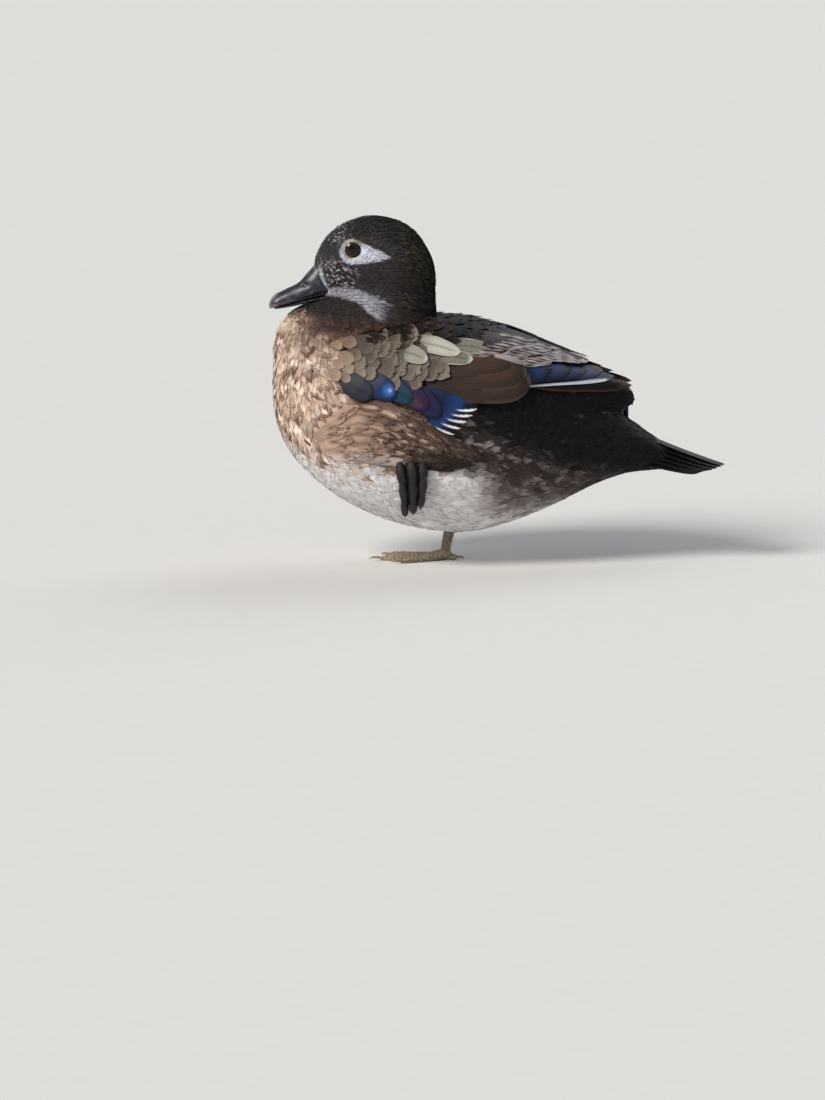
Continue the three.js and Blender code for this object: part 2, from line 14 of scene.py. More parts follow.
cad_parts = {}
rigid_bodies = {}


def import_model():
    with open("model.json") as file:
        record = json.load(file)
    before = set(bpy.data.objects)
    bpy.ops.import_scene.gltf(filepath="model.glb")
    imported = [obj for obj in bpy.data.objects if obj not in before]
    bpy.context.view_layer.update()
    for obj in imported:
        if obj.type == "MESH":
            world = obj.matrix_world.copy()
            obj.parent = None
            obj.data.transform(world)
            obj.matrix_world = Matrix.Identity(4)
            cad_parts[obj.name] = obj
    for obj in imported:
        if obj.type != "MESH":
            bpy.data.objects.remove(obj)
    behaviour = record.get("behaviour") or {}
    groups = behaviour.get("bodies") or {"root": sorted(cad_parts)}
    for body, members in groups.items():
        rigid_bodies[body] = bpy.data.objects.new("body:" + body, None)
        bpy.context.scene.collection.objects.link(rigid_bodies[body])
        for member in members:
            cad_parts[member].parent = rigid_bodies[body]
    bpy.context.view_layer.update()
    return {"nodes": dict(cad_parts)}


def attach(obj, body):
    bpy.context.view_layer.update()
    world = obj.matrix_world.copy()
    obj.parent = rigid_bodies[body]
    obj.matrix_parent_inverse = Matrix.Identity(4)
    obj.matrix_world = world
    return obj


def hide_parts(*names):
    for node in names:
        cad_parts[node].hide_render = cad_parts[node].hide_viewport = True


bl_info = {
    "name": "Wood Duck Hen",
    "version": (1, 0, 0),
    "blender": (4, 5, 0),
    "location": "View3D > Sidebar > Wood Duck",
    "description": "Builds the plumage, bill, eyes and feet of a wood duck hen over her solids",
    "category": "Object",
}

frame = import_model()
BODY = "root"
MM = 0.001

# Rows of the rounded forms: station, upper edge, height of the widest line, lower edge, half width
TRUNK_ROWS = [
    (-93, 110, 110, 110, 0), (-89.5, 131, 108, 85, 21), (-78, 142, 100, 63, 37),
    (-56, 146, 93, 42.5, 51), (-26, 148.5, 90, 26.5, 59.5), (5, 148.5, 88, 18.5, 62.5),
    (32, 145.5, 87, 17.5, 61), (58, 136.5, 87, 24, 54), (84, 123, 84, 34.5, 43.5),
    (108, 106, 78, 46.5, 32), (128, 91, 72, 53.5, 24.5), (146, 78, 65, 55.5, 17),
    (158, 69, 62, 57, 9), (166, 62, 62, 62, 0),
]
NECK_ROWS = [
    (98, -40, -40, -40, 0), (106, -84, -40, 4, 42), (124, -92, -38, 10, 43),
    (138, -91.5, -36, 11, 38), (148, -88, -33, 10, 32), (154, -83, -30, 9, 28),
    (159, -74, -28, 8.5, 25), (166, -57, -25, 8, 21.5), (177, -44, -22, 4, 16),
    (184, -20, -20, -20, 0),
]
HEAD_ROWS = [
    (-67, 181, 181, 181, 0), (-65.2, 190.2, 181, 171.5, 5.4), (-60.5, 199.8, 181, 166, 10),
    (-53, 207.6, 182, 162, 14.2), (-44, 212.4, 183.5, 158.5, 17.4), (-31, 215.4, 184, 155, 20),
    (-16, 213, 183, 153, 21), (-5, 206, 180, 153, 19.8), (2, 196, 178, 155, 15.5),
    (6.5, 186, 176, 160, 10), (8.5, 176, 176, 176, 0),
]
CLOAK_ROWS = [
    (-78, 120, 120, 120, 0), (-72, 138, 112, 92, 40), (-54, 148, 106, 72, 54.5),
    (-26, 152, 100, 62, 63), (5, 153, 97, 58, 66.5), (34, 150.5, 98, 60, 65),
    (60, 142, 101, 66, 58), (84, 132.3, 104, 77, 46), (104, 125, 107, 88, 33),
    (120, 119.5, 108.5, 98, 22), (131, 114.5, 110, 103.5, 12.5), (136, 110.5, 110.5, 110.5, 0),
]
BILL_ROWS = [
    (-50, 174, 174, 174, 0), (-54, 187, 171, 166.3, 7.4), (-62, 187, 169.5, 165, 8.1),
    (-68, 181.3, 167, 163.6, 7.8), (-75, 173.4, 164.4, 162, 7.1), (-83, 169.3, 162.2, 160, 6.7),
    (-89, 165.9, 160.4, 158.6, 6), (-92.4, 162, 159, 157, 4), (-93.6, 158.8, 158.8, 158.8, 0),
]
CHIN_ROWS = [
    (-48, 165, 165, 165, 0), (-54, 166.4, 165.4, 163.6, 6), (-62, 165, 163.8, 162, 6.6),
    (-72, 162.6, 161.6, 160, 6), (-82, 160, 159.2, 157.9, 5.4), (-88.5, 158.4, 157.8, 156.9, 4),
    (-91, 157.4, 157.4, 157.4, 0),
]
# The eye's middle, its ball, how far the ball stands out of the head, and the iris
EYE_X, EYE_Z = -41.4, 195.4
EYEBALL_RADIUS, EYE_BULGE, IRIS_RADIUS = 8.3, 1.5, 5.2
# Where the standing leg enters the belly
LEG_X, LEG_Y = 20, 8
# What one pixel of the photo spans at the hen
PHOTO_PIXEL = 0.62
# The wing's lower edge from front to tip, as x and z
WING_EDGE = np.array([
    (-66, 124), (-52, 110), (-18, 97), (20, 85), (42, 98), (66, 109), (98, 113), (126, 110), (136, 110.5),
])
# The lower edge of the closed flight feathers, the top of the back, and the upper edge of the flank plumes
WING_LOW = np.array([
    (20, 100), (44, 106), (66, 112.6), (84, 115.6), (98, 116.8), (112, 116.4), (124, 112.5), (136, 108.5),
])
BACK_LINE = np.array([
    (-20, 151.5), (5, 153.2), (34, 151), (57, 144.8), (86, 134.5), (103, 125.6), (121, 118), (134, 110.5),
])
FLANK_LINE = np.array([
    (-76, 80), (-58, 97), (-39, 108), (-21, 107.5), (-11, 102.5), (-1, 96), (12, 89), (20, 84.5), (40, 76),
])


# Small mathematics

def smooth(value, low, high):
    """0 below low, 1 above high, and an even turn between them"""
    t = np.clip((value - low) / (high - low), 0, 1)
    return t * t * (3 - 2 * t)


def blend(a, b, share):
    """Colours or points a turned towards b by share"""
    return a + (b - a) * np.asarray(share)[..., None]


def unit(v):
    return v / np.maximum(np.linalg.norm(v, axis=-1, keepdims=True), 1e-9)


def laid(lie, normals):
    """Directions turned into the surface"""
    return unit(lie - normals * np.sum(lie * normals, 1, keepdims=True))


def signed_power(value, exponent):
    return np.sign(value) * np.abs(value) ** exponent


def speckle(p, size, seed=0.0):
    """A cheap soft noise from -1 to 1 at points p, about size mm across"""
    q = p / size
    a = np.sin(q[..., 0] * 2.1 + 1.7 * np.sin(q[..., 2] * 1.3 + seed) + seed * 3.1)
    b = np.sin(q[..., 2] * 2.4 + 1.5 * np.sin(q[..., 1] * 1.9 - seed) + seed * 1.7)
    c = np.sin(q[..., 1] * 2.2 + 1.6 * np.sin(q[..., 0] * 1.5 + 2 * seed))
    return (a * b + b * c + c * a) / 1.6


def inside(x, z, outline):
    """True where points lie inside an outline of corners"""
    found = np.zeros(np.shape(x), bool)
    for (x0, z0), (x1, z1) in zip(outline, outline[1:] + outline[:1]):
        if z0 != z1:
            found ^= ((z0 > z) != (z1 > z)) & (x < (x1 - x0) * (z - z0) / (z1 - z0) + x0)
    return found


def ring_faces(turns, rings, outward=True):
    """Quads between rings of points, turned so that they face outward"""
    faces = []
    for i in range(rings - 1):
        for k in range(turns):
            a, b = i * turns + k, i * turns + (k + 1) % turns
            face = (a, b, b + turns, a + turns)
            faces.append(face if outward else face[::-1])
    return faces


def capped_faces(turns, rings):
    """Quads between rings and the fans that close them on two last points"""
    faces = ring_faces(turns, rings)
    first, base = rings * turns, (rings - 1) * turns
    for k in range(turns):
        faces.append((k, first, (k + 1) % turns))
        faces.append((base + k, base + (k + 1) % turns, first + 1))
    return faces


class Form:
    """A rounded form through cross-sections along an axis, as the solids are made"""

    def __init__(self, rows, axis="x", roundness=2.3, inset=0.0):
        table = np.array(rows, float)
        if inset:
            inner = table[:, 4] > 0
            table[inner, 1] -= inset
            table[inner, 3] += inset
            table[inner, 4] -= inset
        self.rows, self.axis, self.roundness = table, axis, roundness
        self.shares = np.linspace(0, 1, 1501)
        self.stations = self.row(self.shares)[:, 0]

    def row(self, t):
        along = np.clip(np.asarray(t, float), 0, 1) * (len(self.rows) - 1)
        i = np.minimum(along.astype(int), len(self.rows) - 2)
        f = (along - i)[..., None]
        a, b = self.rows[np.maximum(i - 1, 0)], self.rows[i]
        c, d = self.rows[i + 1], self.rows[np.minimum(i + 2, len(self.rows) - 1)]
        return b + 0.5 * f * (c - a + f * (2 * a - 5 * b + 4 * c - d + f * (3 * (b - c) + d - a)))

    def share_at(self, station):
        order = np.argsort(self.stations)
        return np.interp(station, self.stations[order], self.shares[order])

    def point(self, t, angle):
        station, upper, widest, lower, half = np.moveaxis(self.row(t), -1, 0)
        rise = signed_power(np.sin(angle), 2 / self.roundness)
        height = widest + rise * np.where(rise > 0, upper - widest, widest - lower)
        side = np.maximum(half, 0) * signed_power(np.cos(angle), 2 / self.roundness)
        parts = (station, side, height) if self.axis == "x" else (height, side, station)
        return np.stack(np.broadcast_arrays(*parts), -1)

    def normal(self, t, angle):
        along = self.point(t + 0.006, angle) - self.point(t - 0.006, angle)
        around = self.point(t, angle + 0.03) - self.point(t, angle - 0.03)
        return unit(np.cross(around, along))

    def side_at(self, x, z):
        """The half width at a height, for a form along x"""
        _, upper, widest, lower, half = np.moveaxis(self.row(self.share_at(x)), -1, 0)
        reach = np.where(z > widest, upper - widest, widest - lower)
        rise = np.clip(np.abs(z - widest) / reach, 0, 0.995)
        return half * (1 - rise ** self.roundness) ** (1 / self.roundness)

    def onto(self, p):
        """Points moved onto the form's +Y side, with the form's normals there"""
        t = self.share_at(p[..., 0])
        _, upper, widest, lower, half = np.moveaxis(self.row(t), -1, 0)
        reach = np.where(p[..., 2] > widest, upper - widest, widest - lower)
        rise = signed_power((p[..., 2] - widest) / np.maximum(reach, 1e-3), self.roundness / 2)
        share = signed_power(np.maximum(p[..., 1], 0.4) / np.maximum(half, 1e-3), self.roundness / 2)
        angle = np.arctan2(rise, share)
        return self.point(t, angle), self.normal(t, angle)

    def mesh(self, rings, sides):
        """Vertices and faces of the closed form"""
        t = (1 - np.cos(np.pi * np.arange(1, rings) / rings)) / 2
        angle = 2 * np.pi * np.arange(sides) / sides
        grid = self.point(t[:, None], angle[None, :]).reshape(-1, 3)
        ends = self.point(np.array([0.0, 1.0]), np.array([0.0, 0.0]))
        return np.vstack([grid, ends]), capped_faces(sides, rings - 1)


trunk = Form(TRUNK_ROWS)
neck = Form(NECK_ROWS, axis="z", roundness=2.15)
head = Form(HEAD_ROWS, roundness=2.05)
cloak = Form(CLOAK_ROWS, roundness=2.25)
eye_side = float(head.side_at(EYE_X, EYE_Z))


# Objects and meshes

def place(mesh, name, replaces=(), slot=None):
    obj = bpy.data.objects.new(name, mesh)
    bpy.context.scene.collection.objects.link(obj)
    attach(obj, BODY)
    if replaces:
        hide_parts(*replaces)
    return obj


def plain_mesh(name, points, faces):
    mesh = bpy.data.meshes.new(name)
    mesh.from_pydata((np.asarray(points) * MM).tolist(), [], [tuple(int(i) for i in f) for f in faces])
    mesh.update()
    mesh.polygons.foreach_set("use_smooth", np.ones(len(mesh.polygons), bool))
    return mesh


def grid_faces(count, stations, columns):
    """Quads of count sheets, each a grid of stations by columns"""
    i, j = np.meshgrid(np.arange(stations - 1), np.arange(columns - 1), indexing="ij")
    a = (i * columns + j).ravel()
    one = np.stack([a, a + 1, a + columns + 1, a + columns], 1)
    return (one[None] + (np.arange(count) * stations * columns)[:, None, None]).reshape(-1, 4)


def sheet_mesh(name, points, barb_map, bake_map, colours):
    """One mesh of many feather sheets. The arrays are feathers by stations by columns."""
    count, stations, columns = points.shape[:3]
    faces = grid_faces(count, stations, columns)
    mesh = bpy.data.meshes.new(name)
    mesh.vertices.add(count * stations * columns)
    mesh.vertices.foreach_set("co", (points * MM).astype(np.float32).ravel())
    mesh.loops.add(faces.size)
    mesh.loops.foreach_set("vertex_index", faces.ravel().astype(np.int32))
    mesh.polygons.add(len(faces))
    mesh.polygons.foreach_set("loop_start", np.arange(0, faces.size, 4, dtype=np.int32))
    mesh.polygons.foreach_set("use_smooth", np.ones(len(faces), bool))
    mesh.update(calc_edges=True)
    for label, values in (("OFBake", bake_map), ("Barbs", barb_map)):
        layer = mesh.uv_layers.new(name=label)
        layer.data.foreach_set("uv", values.reshape(-1, 2)[faces.ravel()].astype(np.float32).ravel())
    paint(mesh, colours.reshape(-1, 3))
    return mesh


def paint(mesh, colours):
    """The plumage colour of each point, as linear red, green and blue"""
    layer = mesh.color_attributes.new(name="Plumage", type="FLOAT_COLOR", domain="POINT")
    rgba = np.ones((len(colours), 4), np.float32)
    rgba[:, :3] = np.clip(colours, 0, 1)
    layer.data.foreach_set("color", rgba.ravel())


def skin_map(p):
    """An unwrap of places on the skin: the trunk rolled out round its long axis, the head round its upright one
    """
    centre = np.interp(p[..., 0], [-93, -60, 0, 60, 120, 190], [108, 95, 88, 86, 76, 60])
    turn = np.arctan2(p[..., 1], p[..., 2] - centre) / (2 * np.pi) + 0.5
    trunk_uv = np.stack([0.01 + 0.62 * (p[..., 0] + 95) / 290, 0.01 + 0.98 * turn], -1)
    spin = np.arctan2(p[..., 1], p[..., 0] + 28) / (2 * np.pi) + 0.5
    head_uv = np.stack([0.65 + 0.34 * spin, 0.01 + 0.98 * (p[..., 2] - 150) / 70], -1)
    on_head = (p[..., 2] > 158) & (p[..., 0] < 14)
    return np.where(on_head[..., None], head_uv, trunk_uv)


def tuft_patches(roots, stations, columns, size=0.003):
    """A small patch for each tuft, at its root's place on the skin's unwrap"""
    v, u = np.meshgrid(np.linspace(-0.5, 0.5, stations), np.linspace(-0.5, 0.5, columns), indexing="ij")
    patch = np.stack([u, v], -1) * size
    return np.clip(skin_map(roots)[:, None, None, :] + patch[None], 0.0005, 0.9995)


def vane_cells(count, stations, columns, first, across):
    """A cell of its own for each large vane, in a square sheet of across by across cells"""
    v, u = np.meshgrid(np.linspace(0.06, 0.94, stations), np.linspace(0.1, 0.9, columns), indexing="ij")
    index = first + np.arange(count)
    corner = np.stack([index % across, index // across], -1)[:, None, None, :]
    return (corner + np.stack([u, v], -1)[None]) / across


# Feathers

def sprout(roots, lie, normals, length, width, rise, surface, rng, stations=5, columns=5, rag=0.12, sunk=0.4,
           rounding=0.2, taper=0.75):
    """Many small feathers, laid over the surface from their roots along the lie"""
    count = len(roots)
    across = unit(np.cross(normals, lie))
    s = (1 - (1 - np.linspace(0, 1, stations)) ** 1.25)[None, :, None]
    c = np.linspace(-1, 1, columns)[None, None, :]
    ragged = 1 - rag * rng.random((count, 1, columns))
    reach = length[:, None, None] * ragged * (1 - rounding * c ** 2)
    profile = 0.4 + 0.6 * np.sin(np.pi * np.clip(s, 0, 0.6) / 1.2)
    profile = profile * (1 - (1 - taper) * smooth(s, 0.6, 1.0))
    along = reach * s
    offset = width[:, None, None] * 0.5 * profile * c
    flat = (
        roots[:, None, None, :]
        + lie[:, None, None, :] * along[..., None]
        + across[:, None, None, :] * offset[..., None]
    )
    spot, lean = surface(flat.reshape(-1, 3))
    spot, lean = spot.reshape(flat.shape), lean.reshape(flat.shape)
    lift = -sunk + (rise[:, None, None] + sunk) * s ** 0.9 - 0.05 * width[:, None, None] * c ** 2 * s
    points = spot + lean * lift[..., None]
    barbs = np.stack(np.broadcast_arrays(offset, along), -1) + rng.random((count, 1, 1, 2)) * [0, 400]
    return points, barbs, s, c


def loose_points(surface_mesh, spacing, rng, keep, tries=9):
    """Evenly scattered points on a mesh, at least spacing mm apart, with the normals there"""
    surface_mesh.calc_loop_triangles()
    corners = np.zeros(len(surface_mesh.loop_triangles) * 3, np.int32)
    surface_mesh.loop_triangles.foreach_get("vertices", corners)
    tri = corners.reshape(-1, 3)
    co, no = coordinates(surface_mesh)
    a, b, c = co[tri[:, 0]], co[tri[:, 1]], co[tri[:, 2]]
    area = np.linalg.norm(np.cross(b - a, c - a), axis=1) / 2
    wanted = int(tries * area.sum() / spacing ** 2)
    pick = rng.choice(len(tri), wanted, p=area / area.sum())
    r1, r2 = np.sqrt(rng.random(wanted))[:, None], rng.random(wanted)[:, None]
    points = a[pick] * (1 - r1) + b[pick] * r1 * (1 - r2) + c[pick] * r1 * r2
    normals = unit(no[tri[pick, 0]] * (1 - r1) + no[tri[pick, 1]] * r1 * (1 - r2) + no[tri[pick, 2]] * r1 * r2)
    kept = keep(points, normals)
    points, normals = points[kept], normals[kept]
    steps = [(i, j, k) for i in (-1, 0, 1) for j in (-1, 0, 1) for k in (-1, 0, 1)]
    cells, chosen, limit = {}, [], spacing * spacing
    keys = np.floor(points / spacing).astype(int)
    for i, (key, p) in enumerate(zip(map(tuple, keys), points.tolist())):
        near = (q for dx, dy, dz in steps for q in cells.get((key[0] + dx, key[1] + dy, key[2] + dz), ()))
        if all((q[0] - p[0]) ** 2 + (q[1] - p[1]) ** 2 + (q[2] - p[2]) ** 2 >= limit for q in near):
            cells.setdefault(key, []).append(p)
            chosen.append(i)
    return points[chosen], normals[chosen]


def lie_of(points, normals):
    """The direction the plumage lies in: back along the body, down the breast, back over the head"""
    x, y, z = points[:, 0], points[:, 1], points[:, 2]
    flow = np.zeros_like(points)
    flow[:, 0] = 1
    flow[:, 2] = -0.22
    front = smooth(-x, 40, 88) * (z < 150)
    flow[:, 2] -= 1.3 * front
    flow[:, 0] -= 0.45 * front
    flank = smooth(np.abs(y), 30, 55) * smooth(z, 50, 80) * (1 - smooth(x, 20, 70))
    flow[:, 2] += 0.15 * flank
    on_neck = smooth(z, 140, 152) * (1 - smooth(z, 156, 166)) * (x < 16)
    flow[:, 2] -= 0.9 * on_neck
    face = smooth(z, 160, 168) * (x < 16)
    flow[:, 2] += face * (0.05 - 0.75 * smooth(x, -22, 8))
    return laid(flow, normals)


def wing_edge_z(x):
    return np.interp(x, WING_EDGE[:, 0], WING_EDGE[:, 1])


def under_wing(p, margin=5.0):
    """True where the folded wing hides the skin"""
    x, z = p[:, 0], p[:, 2]
    low = np.where(x > 30, np.interp(x, WING_LOW[:, 0], WING_LOW[:, 1]), wing_edge_z(x))
    y = np.abs(p[:, 1])
    return (x > -50) & (x < 126) & (z > low + margin) & (y > 17) & (y < cloak.side_at(x, z) + 1.0)


# Colours

def linear(rgb):
    """Linear light of a colour given as 0 to 255"""
    c = np.array(rgb, float) / 255
    return np.where(c <= 0.04045, c / 12.92, ((c + 0.055) / 1.055) ** 2.4)


def tone(name):
    """A named colour from the panel, as linear red, green and blue"""
    return np.array(getattr(bpy.context.scene.hen_colours, name)[:3], float)


def panel_size(name):
    """A size from the panel, in millimetres"""
    return getattr(bpy.context.scene.hen_sizes, name) / MM


def washed(colour, *washes):
    """Colours turned towards named ones, one after the other"""
    for name, share in washes:
        colour = blend(colour, tone(name), share)
    return colour


def spot_on(s, c, middle, long, wide):
    """A soft oval on a feather, 1 in its middle"""
    return np.clip(1.25 - ((s - middle) / long) ** 2 - (c / wide) ** 2, 0, 1)


def eye_patch(x, z):
    """1 inside the pale drop round the eye that runs back to a point"""
    drawn_out, middle = 21.5, 194.2
    t = np.clip((x - EYE_X) / drawn_out, 0, 1)
    radius = 7.0 * (1 - t) ** 0.8 + 0.8
    distance = np.hypot(x - (EYE_X + drawn_out * t), z - (middle - 3.0 * t))
    return 1 - smooth(distance - radius, -0.7, 0.7)


def head_tones(p):
    """The head's colour at points p"""
    x, y, z = p[..., 0], np.abs(p[..., 1]), p[..., 2]
    noise = speckle(p, 3.2, 1.0)
    fine = speckle(p, 1.0, 2.3)
    finer = speckle(p, 0.7, 4.1)
    lores = (1 - smooth(x, -46, -34)) * smooth(z, 168, 174) * (1 - smooth(z, 185, 193))
    forehead_highlight = (1 - smooth(x, -50, -38)) * smooth(z, 196, 202)
    crown_line = np.interp(x, [-66, -58, -50, -45, -30, -15, 0, 12], [190, 196, 201, 203, 204.5, 199, 189, 176])
    crown = smooth(z, crown_line - 3, crown_line + 2)
    flecks = smooth(fine + 0.5 * finer, 0.1, 0.8)
    throat_mid = np.interp(x, [-60, -50, -38, -28, -22], [168.5, 169, 166.9, 160.3, 157])
    half = np.interp(x, [-60, -50, -38, -28], [2.0, 2.8, 3.8, 6.2])
    under = (1 - smooth(z, throat_mid - half - 2, throat_mid - half + 1)) * (1 - smooth(x, -24, -12))
    colour = washed(
        np.broadcast_to(tone("cheek"), p.shape).copy(),
        ("crown", 0.6 * smooth(noise, 0.0, 0.8)),
        ("crown", lores * 0.7),
        ("crown", crown),
        ("crown_gloss", crown * smooth(noise, 0.0, 0.9) * 0.5),
        # pale flecks of the lores, and on the forehead painted highlights
        ("face_fleck_and_highlight", np.clip(lores + 0.9 * forehead_highlight, 0, 1) * flecks * 0.9),
        ("crest", smooth(x, -22, -6) * 0.85),
        # painted shade: the neck below the throat patch darkened for the fold under the head
        ("neck_fold_shade", under * 0.85),
    )
    throat = (1 - smooth(np.abs(z - throat_mid), half - 0.8, half + 1.2)) * (1 - smooth(x, -27, -19))
    white = blend(tone("throat"), tone("face_fleck_and_highlight"), 0.55 * (1 - smooth(x, -46, -36)))
    colour = blend(colour, white, throat * (0.75 + 0.25 * fine))
    base_x = np.interp(z, [164, 168, 174, 181, 188], [-53.0, -55.5, -59.2, -61.2, -62.3])
    edge = np.exp(-(((x - base_x) / 1.1) ** 2)) * smooth(z, 166, 169) * (1 - smooth(z, 182, 186))
    patch = eye_patch(x, z) * smooth(y, 8, 11)
    pale = ("eye_patch", patch * (0.93 + 0.07 * fine)), ("eye_patch", np.clip(edge, 0, 1) * 0.8)
    colour = washed(colour, *pale)
    return colour * (1 + 0.2 * noise)[..., None]


def body_tones(p):
    """Ground and mark colours of the feathers that show at p, and how strong their pale and dark marks are"""
    x, y, z = p[:, 0], np.abs(p[:, 1]), p[:, 2]
    patchy = speckle(p, 10.0, 0.4)
    fine = speckle(p, 5.6, 1.9)
    finer = speckle(p, 3.4, 5.2)
    breast = 1 - smooth(x, -50, -24)
    upper = smooth(z, 112, 140) * breast * smooth(y, 6, 24)
    belly_line = np.interp(x, [-95, -84, -60, -40, -20, 20, 45, 80, 120], [80, 72, 63, 61, 66, 66, 58, 52, 48])
    white = 1 - smooth(z + 7 * patchy + 4 * fine, belly_line - 10, belly_line + 9)
    white = white * (1 - 0.75 * smooth(x, 30, 58) * smooth(z + 7 * fine, 24, 46)) * (1 - smooth(x, 84, 116))
    rear = smooth(x, 8, 30) * (1 - white)
    dark_line = np.interp(x, [20, 36, 60, 90, 118, 190], [104, 92, 76, 63, 56, 20])
    shade = smooth(z + 5 * fine, dark_line - 7, dark_line + 7) * smooth(x, 14, 36)
    back = smooth(z, 134, 142) * smooth(x, -36, -16) * (1 - smooth(y, 44, 54))
    collar = smooth(z, 132, 148) * (1 - smooth(x, -6, 12)) * smooth(x, -84, -62)
    # painted shade in the fold where the neck is drawn in under the head; its pale marks are dulled too
    fold = smooth(z, 138, 148) * smooth(x, -70, -54) * (1 - smooth(x, -4, 10)) * smooth(y, 6, 16)
    ground = washed(
        np.broadcast_to(tone("flank"), p.shape).copy(), ("breast", breast), ("neck", upper * 0.55),
        ("belly", white), ("vent_dark", rear), ("rump", shade), ("mantle", back), ("neck", collar),
        ("neck_fold_shade", fold * 0.9),
    )
    mark = washed(
        np.broadcast_to(tone("flank_spot"), p.shape).copy(), ("breast_spot", breast), ("belly_shade", white),
        ("vent_pale", rear), ("rump", shade), ("mantle_edge", back), ("neck_spot", collar * 0.85),
        ("neck", fold * 0.9),
    )
    mottle = smooth(fine + 0.6 * finer, -0.3, 0.6)
    pale = 0.35 + 0.6 * smooth(fine, -0.4, 0.4)
    pale = np.where(rear > 0.5, 0.9 * mottle * (1 - 0.5 * smooth(x, 50, 100)), pale)
    pale = np.where(back > 0.5, 0.3, pale) * (1 - 0.6 * collar)
    dark = smooth(finer - 0.2 * fine, -0.1, 0.25) * (1 - white) * (1 - shade) * (1 - 0.75 * rear)
    level = 1 + 0.14 * patchy + 0.08 * fine
    return ground * level[:, None], mark * (1 + 0.06 * fine)[:, None], np.clip(pale, 0, 1), dark


def skin_tones(p):
    """The skin's colour: the same markings as the coat"""
    ground, mark, pale, _ = body_tones(p)
    body = blend(ground, mark, 0.5 * pale)
    return blend(body, head_tones(p), smooth(p[:, 2], 150, 160) * (p[:, 0] < 16))


# Materials

class Paintbox:
    """Builds a node material step by step"""

    def __init__(self, name):
        self.material = bpy.data.materials.new(name)
        self.material.use_nodes = True
        self.tree = self.material.node_tree
        self.tree.nodes.clear()
        self.shader = self.node("ShaderNodeBsdfPrincipled")
        out = self.node("ShaderNodeOutputMaterial")
        self.link(self.shader.outputs[0], out.inputs["Surface"])

    def node(self, kind, **values):
        made = self.tree.nodes.new(kind)
        for key, value in values.items():
            setattr(made, key, value)
        return made

    def link(self, source, target):
        self.tree.links.new(source, target)

    def set(self, **values):
        for key, value in values.items():
            self.shader.inputs[key.replace("_", " ")].default_value = value
        return self

    def put(self, value, socket):
        if hasattr(value, "node"):
            self.link(value, socket)
        else:
            socket.default_value = value

    def math(self, operation, a, b=0.0, clamp=False):
        made = self.node("ShaderNodeMath", operation=operation, use_clamp=clamp)
        self.put(a, made.inputs[0])
        self.put(b, made.inputs[1])
        return made.outputs[0]

    def noise(self, scale, coordinates=None, detail=3.0, roughness=0.55):
        made = self.node("ShaderNodeTexNoise")
        made.inputs["Scale"].default_value = scale
        made.inputs["Detail"].default_value = detail
        made.inputs["Roughness"].default_value = roughness
        self.link(coordinates or self.node("ShaderNodeTexCoord").outputs["Object"], made.inputs["Vector"])
        return made.outputs[0]

    def ramp(self, factor, stops):
        made = self.node("ShaderNodeValToRGB")
        ramp = made.color_ramp
        while len(ramp.elements) < len(stops):
            ramp.elements.new(0.5)
        for element, (position, colour) in zip(ramp.elements, stops):
            element.position = position
            element.color = (*colour, 1) if len(colour) == 3 else colour
        self.put(factor, made.inputs[0])
        return made.outputs[0]

    def mix(self, factor, a, b, blend_type="MIX"):
        made = self.node("ShaderNodeMix", data_type="RGBA", blend_type=blend_type)
        self.put(factor, made.inputs[0])
        self.put(a, made.inputs[6])
        self.put(b, made.inputs[7])
        return made.outputs[2]

    def bump(self, height, strength=0.5, distance=0.001):
        made = self.node("ShaderNodeBump")
        made.inputs["Strength"].default_value = strength
        made.inputs["Distance"].default_value = distance
        self.link(height, made.inputs["Height"])
        self.link(made.outputs[0], self.shader.inputs["Normal"])
        return self

    def painted(self, shade):
        """The mesh's own colours, darkened and lightened by a factor"""
        colour = self.node("ShaderNodeAttribute", attribute_name="Plumage").outputs["Color"]
        grey = self.node("ShaderNodeCombineXYZ")
        for socket in grey.inputs:
            self.link(shade, socket)
        self.link(self.mix(1.0, colour, grey.outputs[0], "MULTIPLY"), self.shader.inputs["Base Color"])

    def spread(self, factor, low, high):
        """A factor from 0 to 1 spread between low and high"""
        return self.math("ADD", self.math("MULTIPLY", factor, high - low), low)


def feather_finish(name, rough=0.62, barb=1.1, depth=0.35, sheen=0.35, strand=0.4):
    """Barbs that run out from the shaft, over each feather's own colour"""
    box = Paintbox(name)
    spot = box.node("ShaderNodeUVMap", uv_map="Barbs").outputs[0]
    parts = box.node("ShaderNodeSeparateXYZ")
    box.link(spot, parts.inputs[0])
    side = box.math("ABSOLUTE", parts.outputs[0])
    along = box.math("SUBTRACT", parts.outputs[1], box.math("MULTIPLY", side, 1.25))
    barbs = box.node("ShaderNodeCombineXYZ")
    box.link(box.math("MULTIPLY", along, 1.0 / barb), barbs.inputs[0])
    box.link(box.math("MULTIPLY", side, 0.22), barbs.inputs[1])
    strands = box.noise(1.9, barbs.outputs[0], detail=2.5, roughness=0.7)
    fine = box.noise(620, detail=2.0)
    box.painted(box.spread(strands, 1 - strand, 1 + strand))
    box.link(box.spread(strands, rough - 0.1, rough + 0.14), box.shader.inputs["Roughness"])
    box.set(Sheen_Weight=sheen, Sheen_Roughness=0.5, Specular_IOR_Level=0.2)
    height = box.math("ADD", strands, box.math("MULTIPLY", fine, 0.25))
    box.bump(height, depth, 0.0005)
    return box.material


def down_finish():
    """The skin and down under the feathers, which shows only between them"""
    box = Paintbox("down")
    fluff = box.noise(700, detail=4.0, roughness=0.7)
    box.painted(box.spread(fluff, 0.7, 1.15))
    box.set(Roughness=0.9, Sheen_Weight=0.3)
    box.bump(fluff, 0.6, 0.0008)
    return box.material


def colour_of(name):
    return (*(float(v) for v in tone(name)), 1.0)


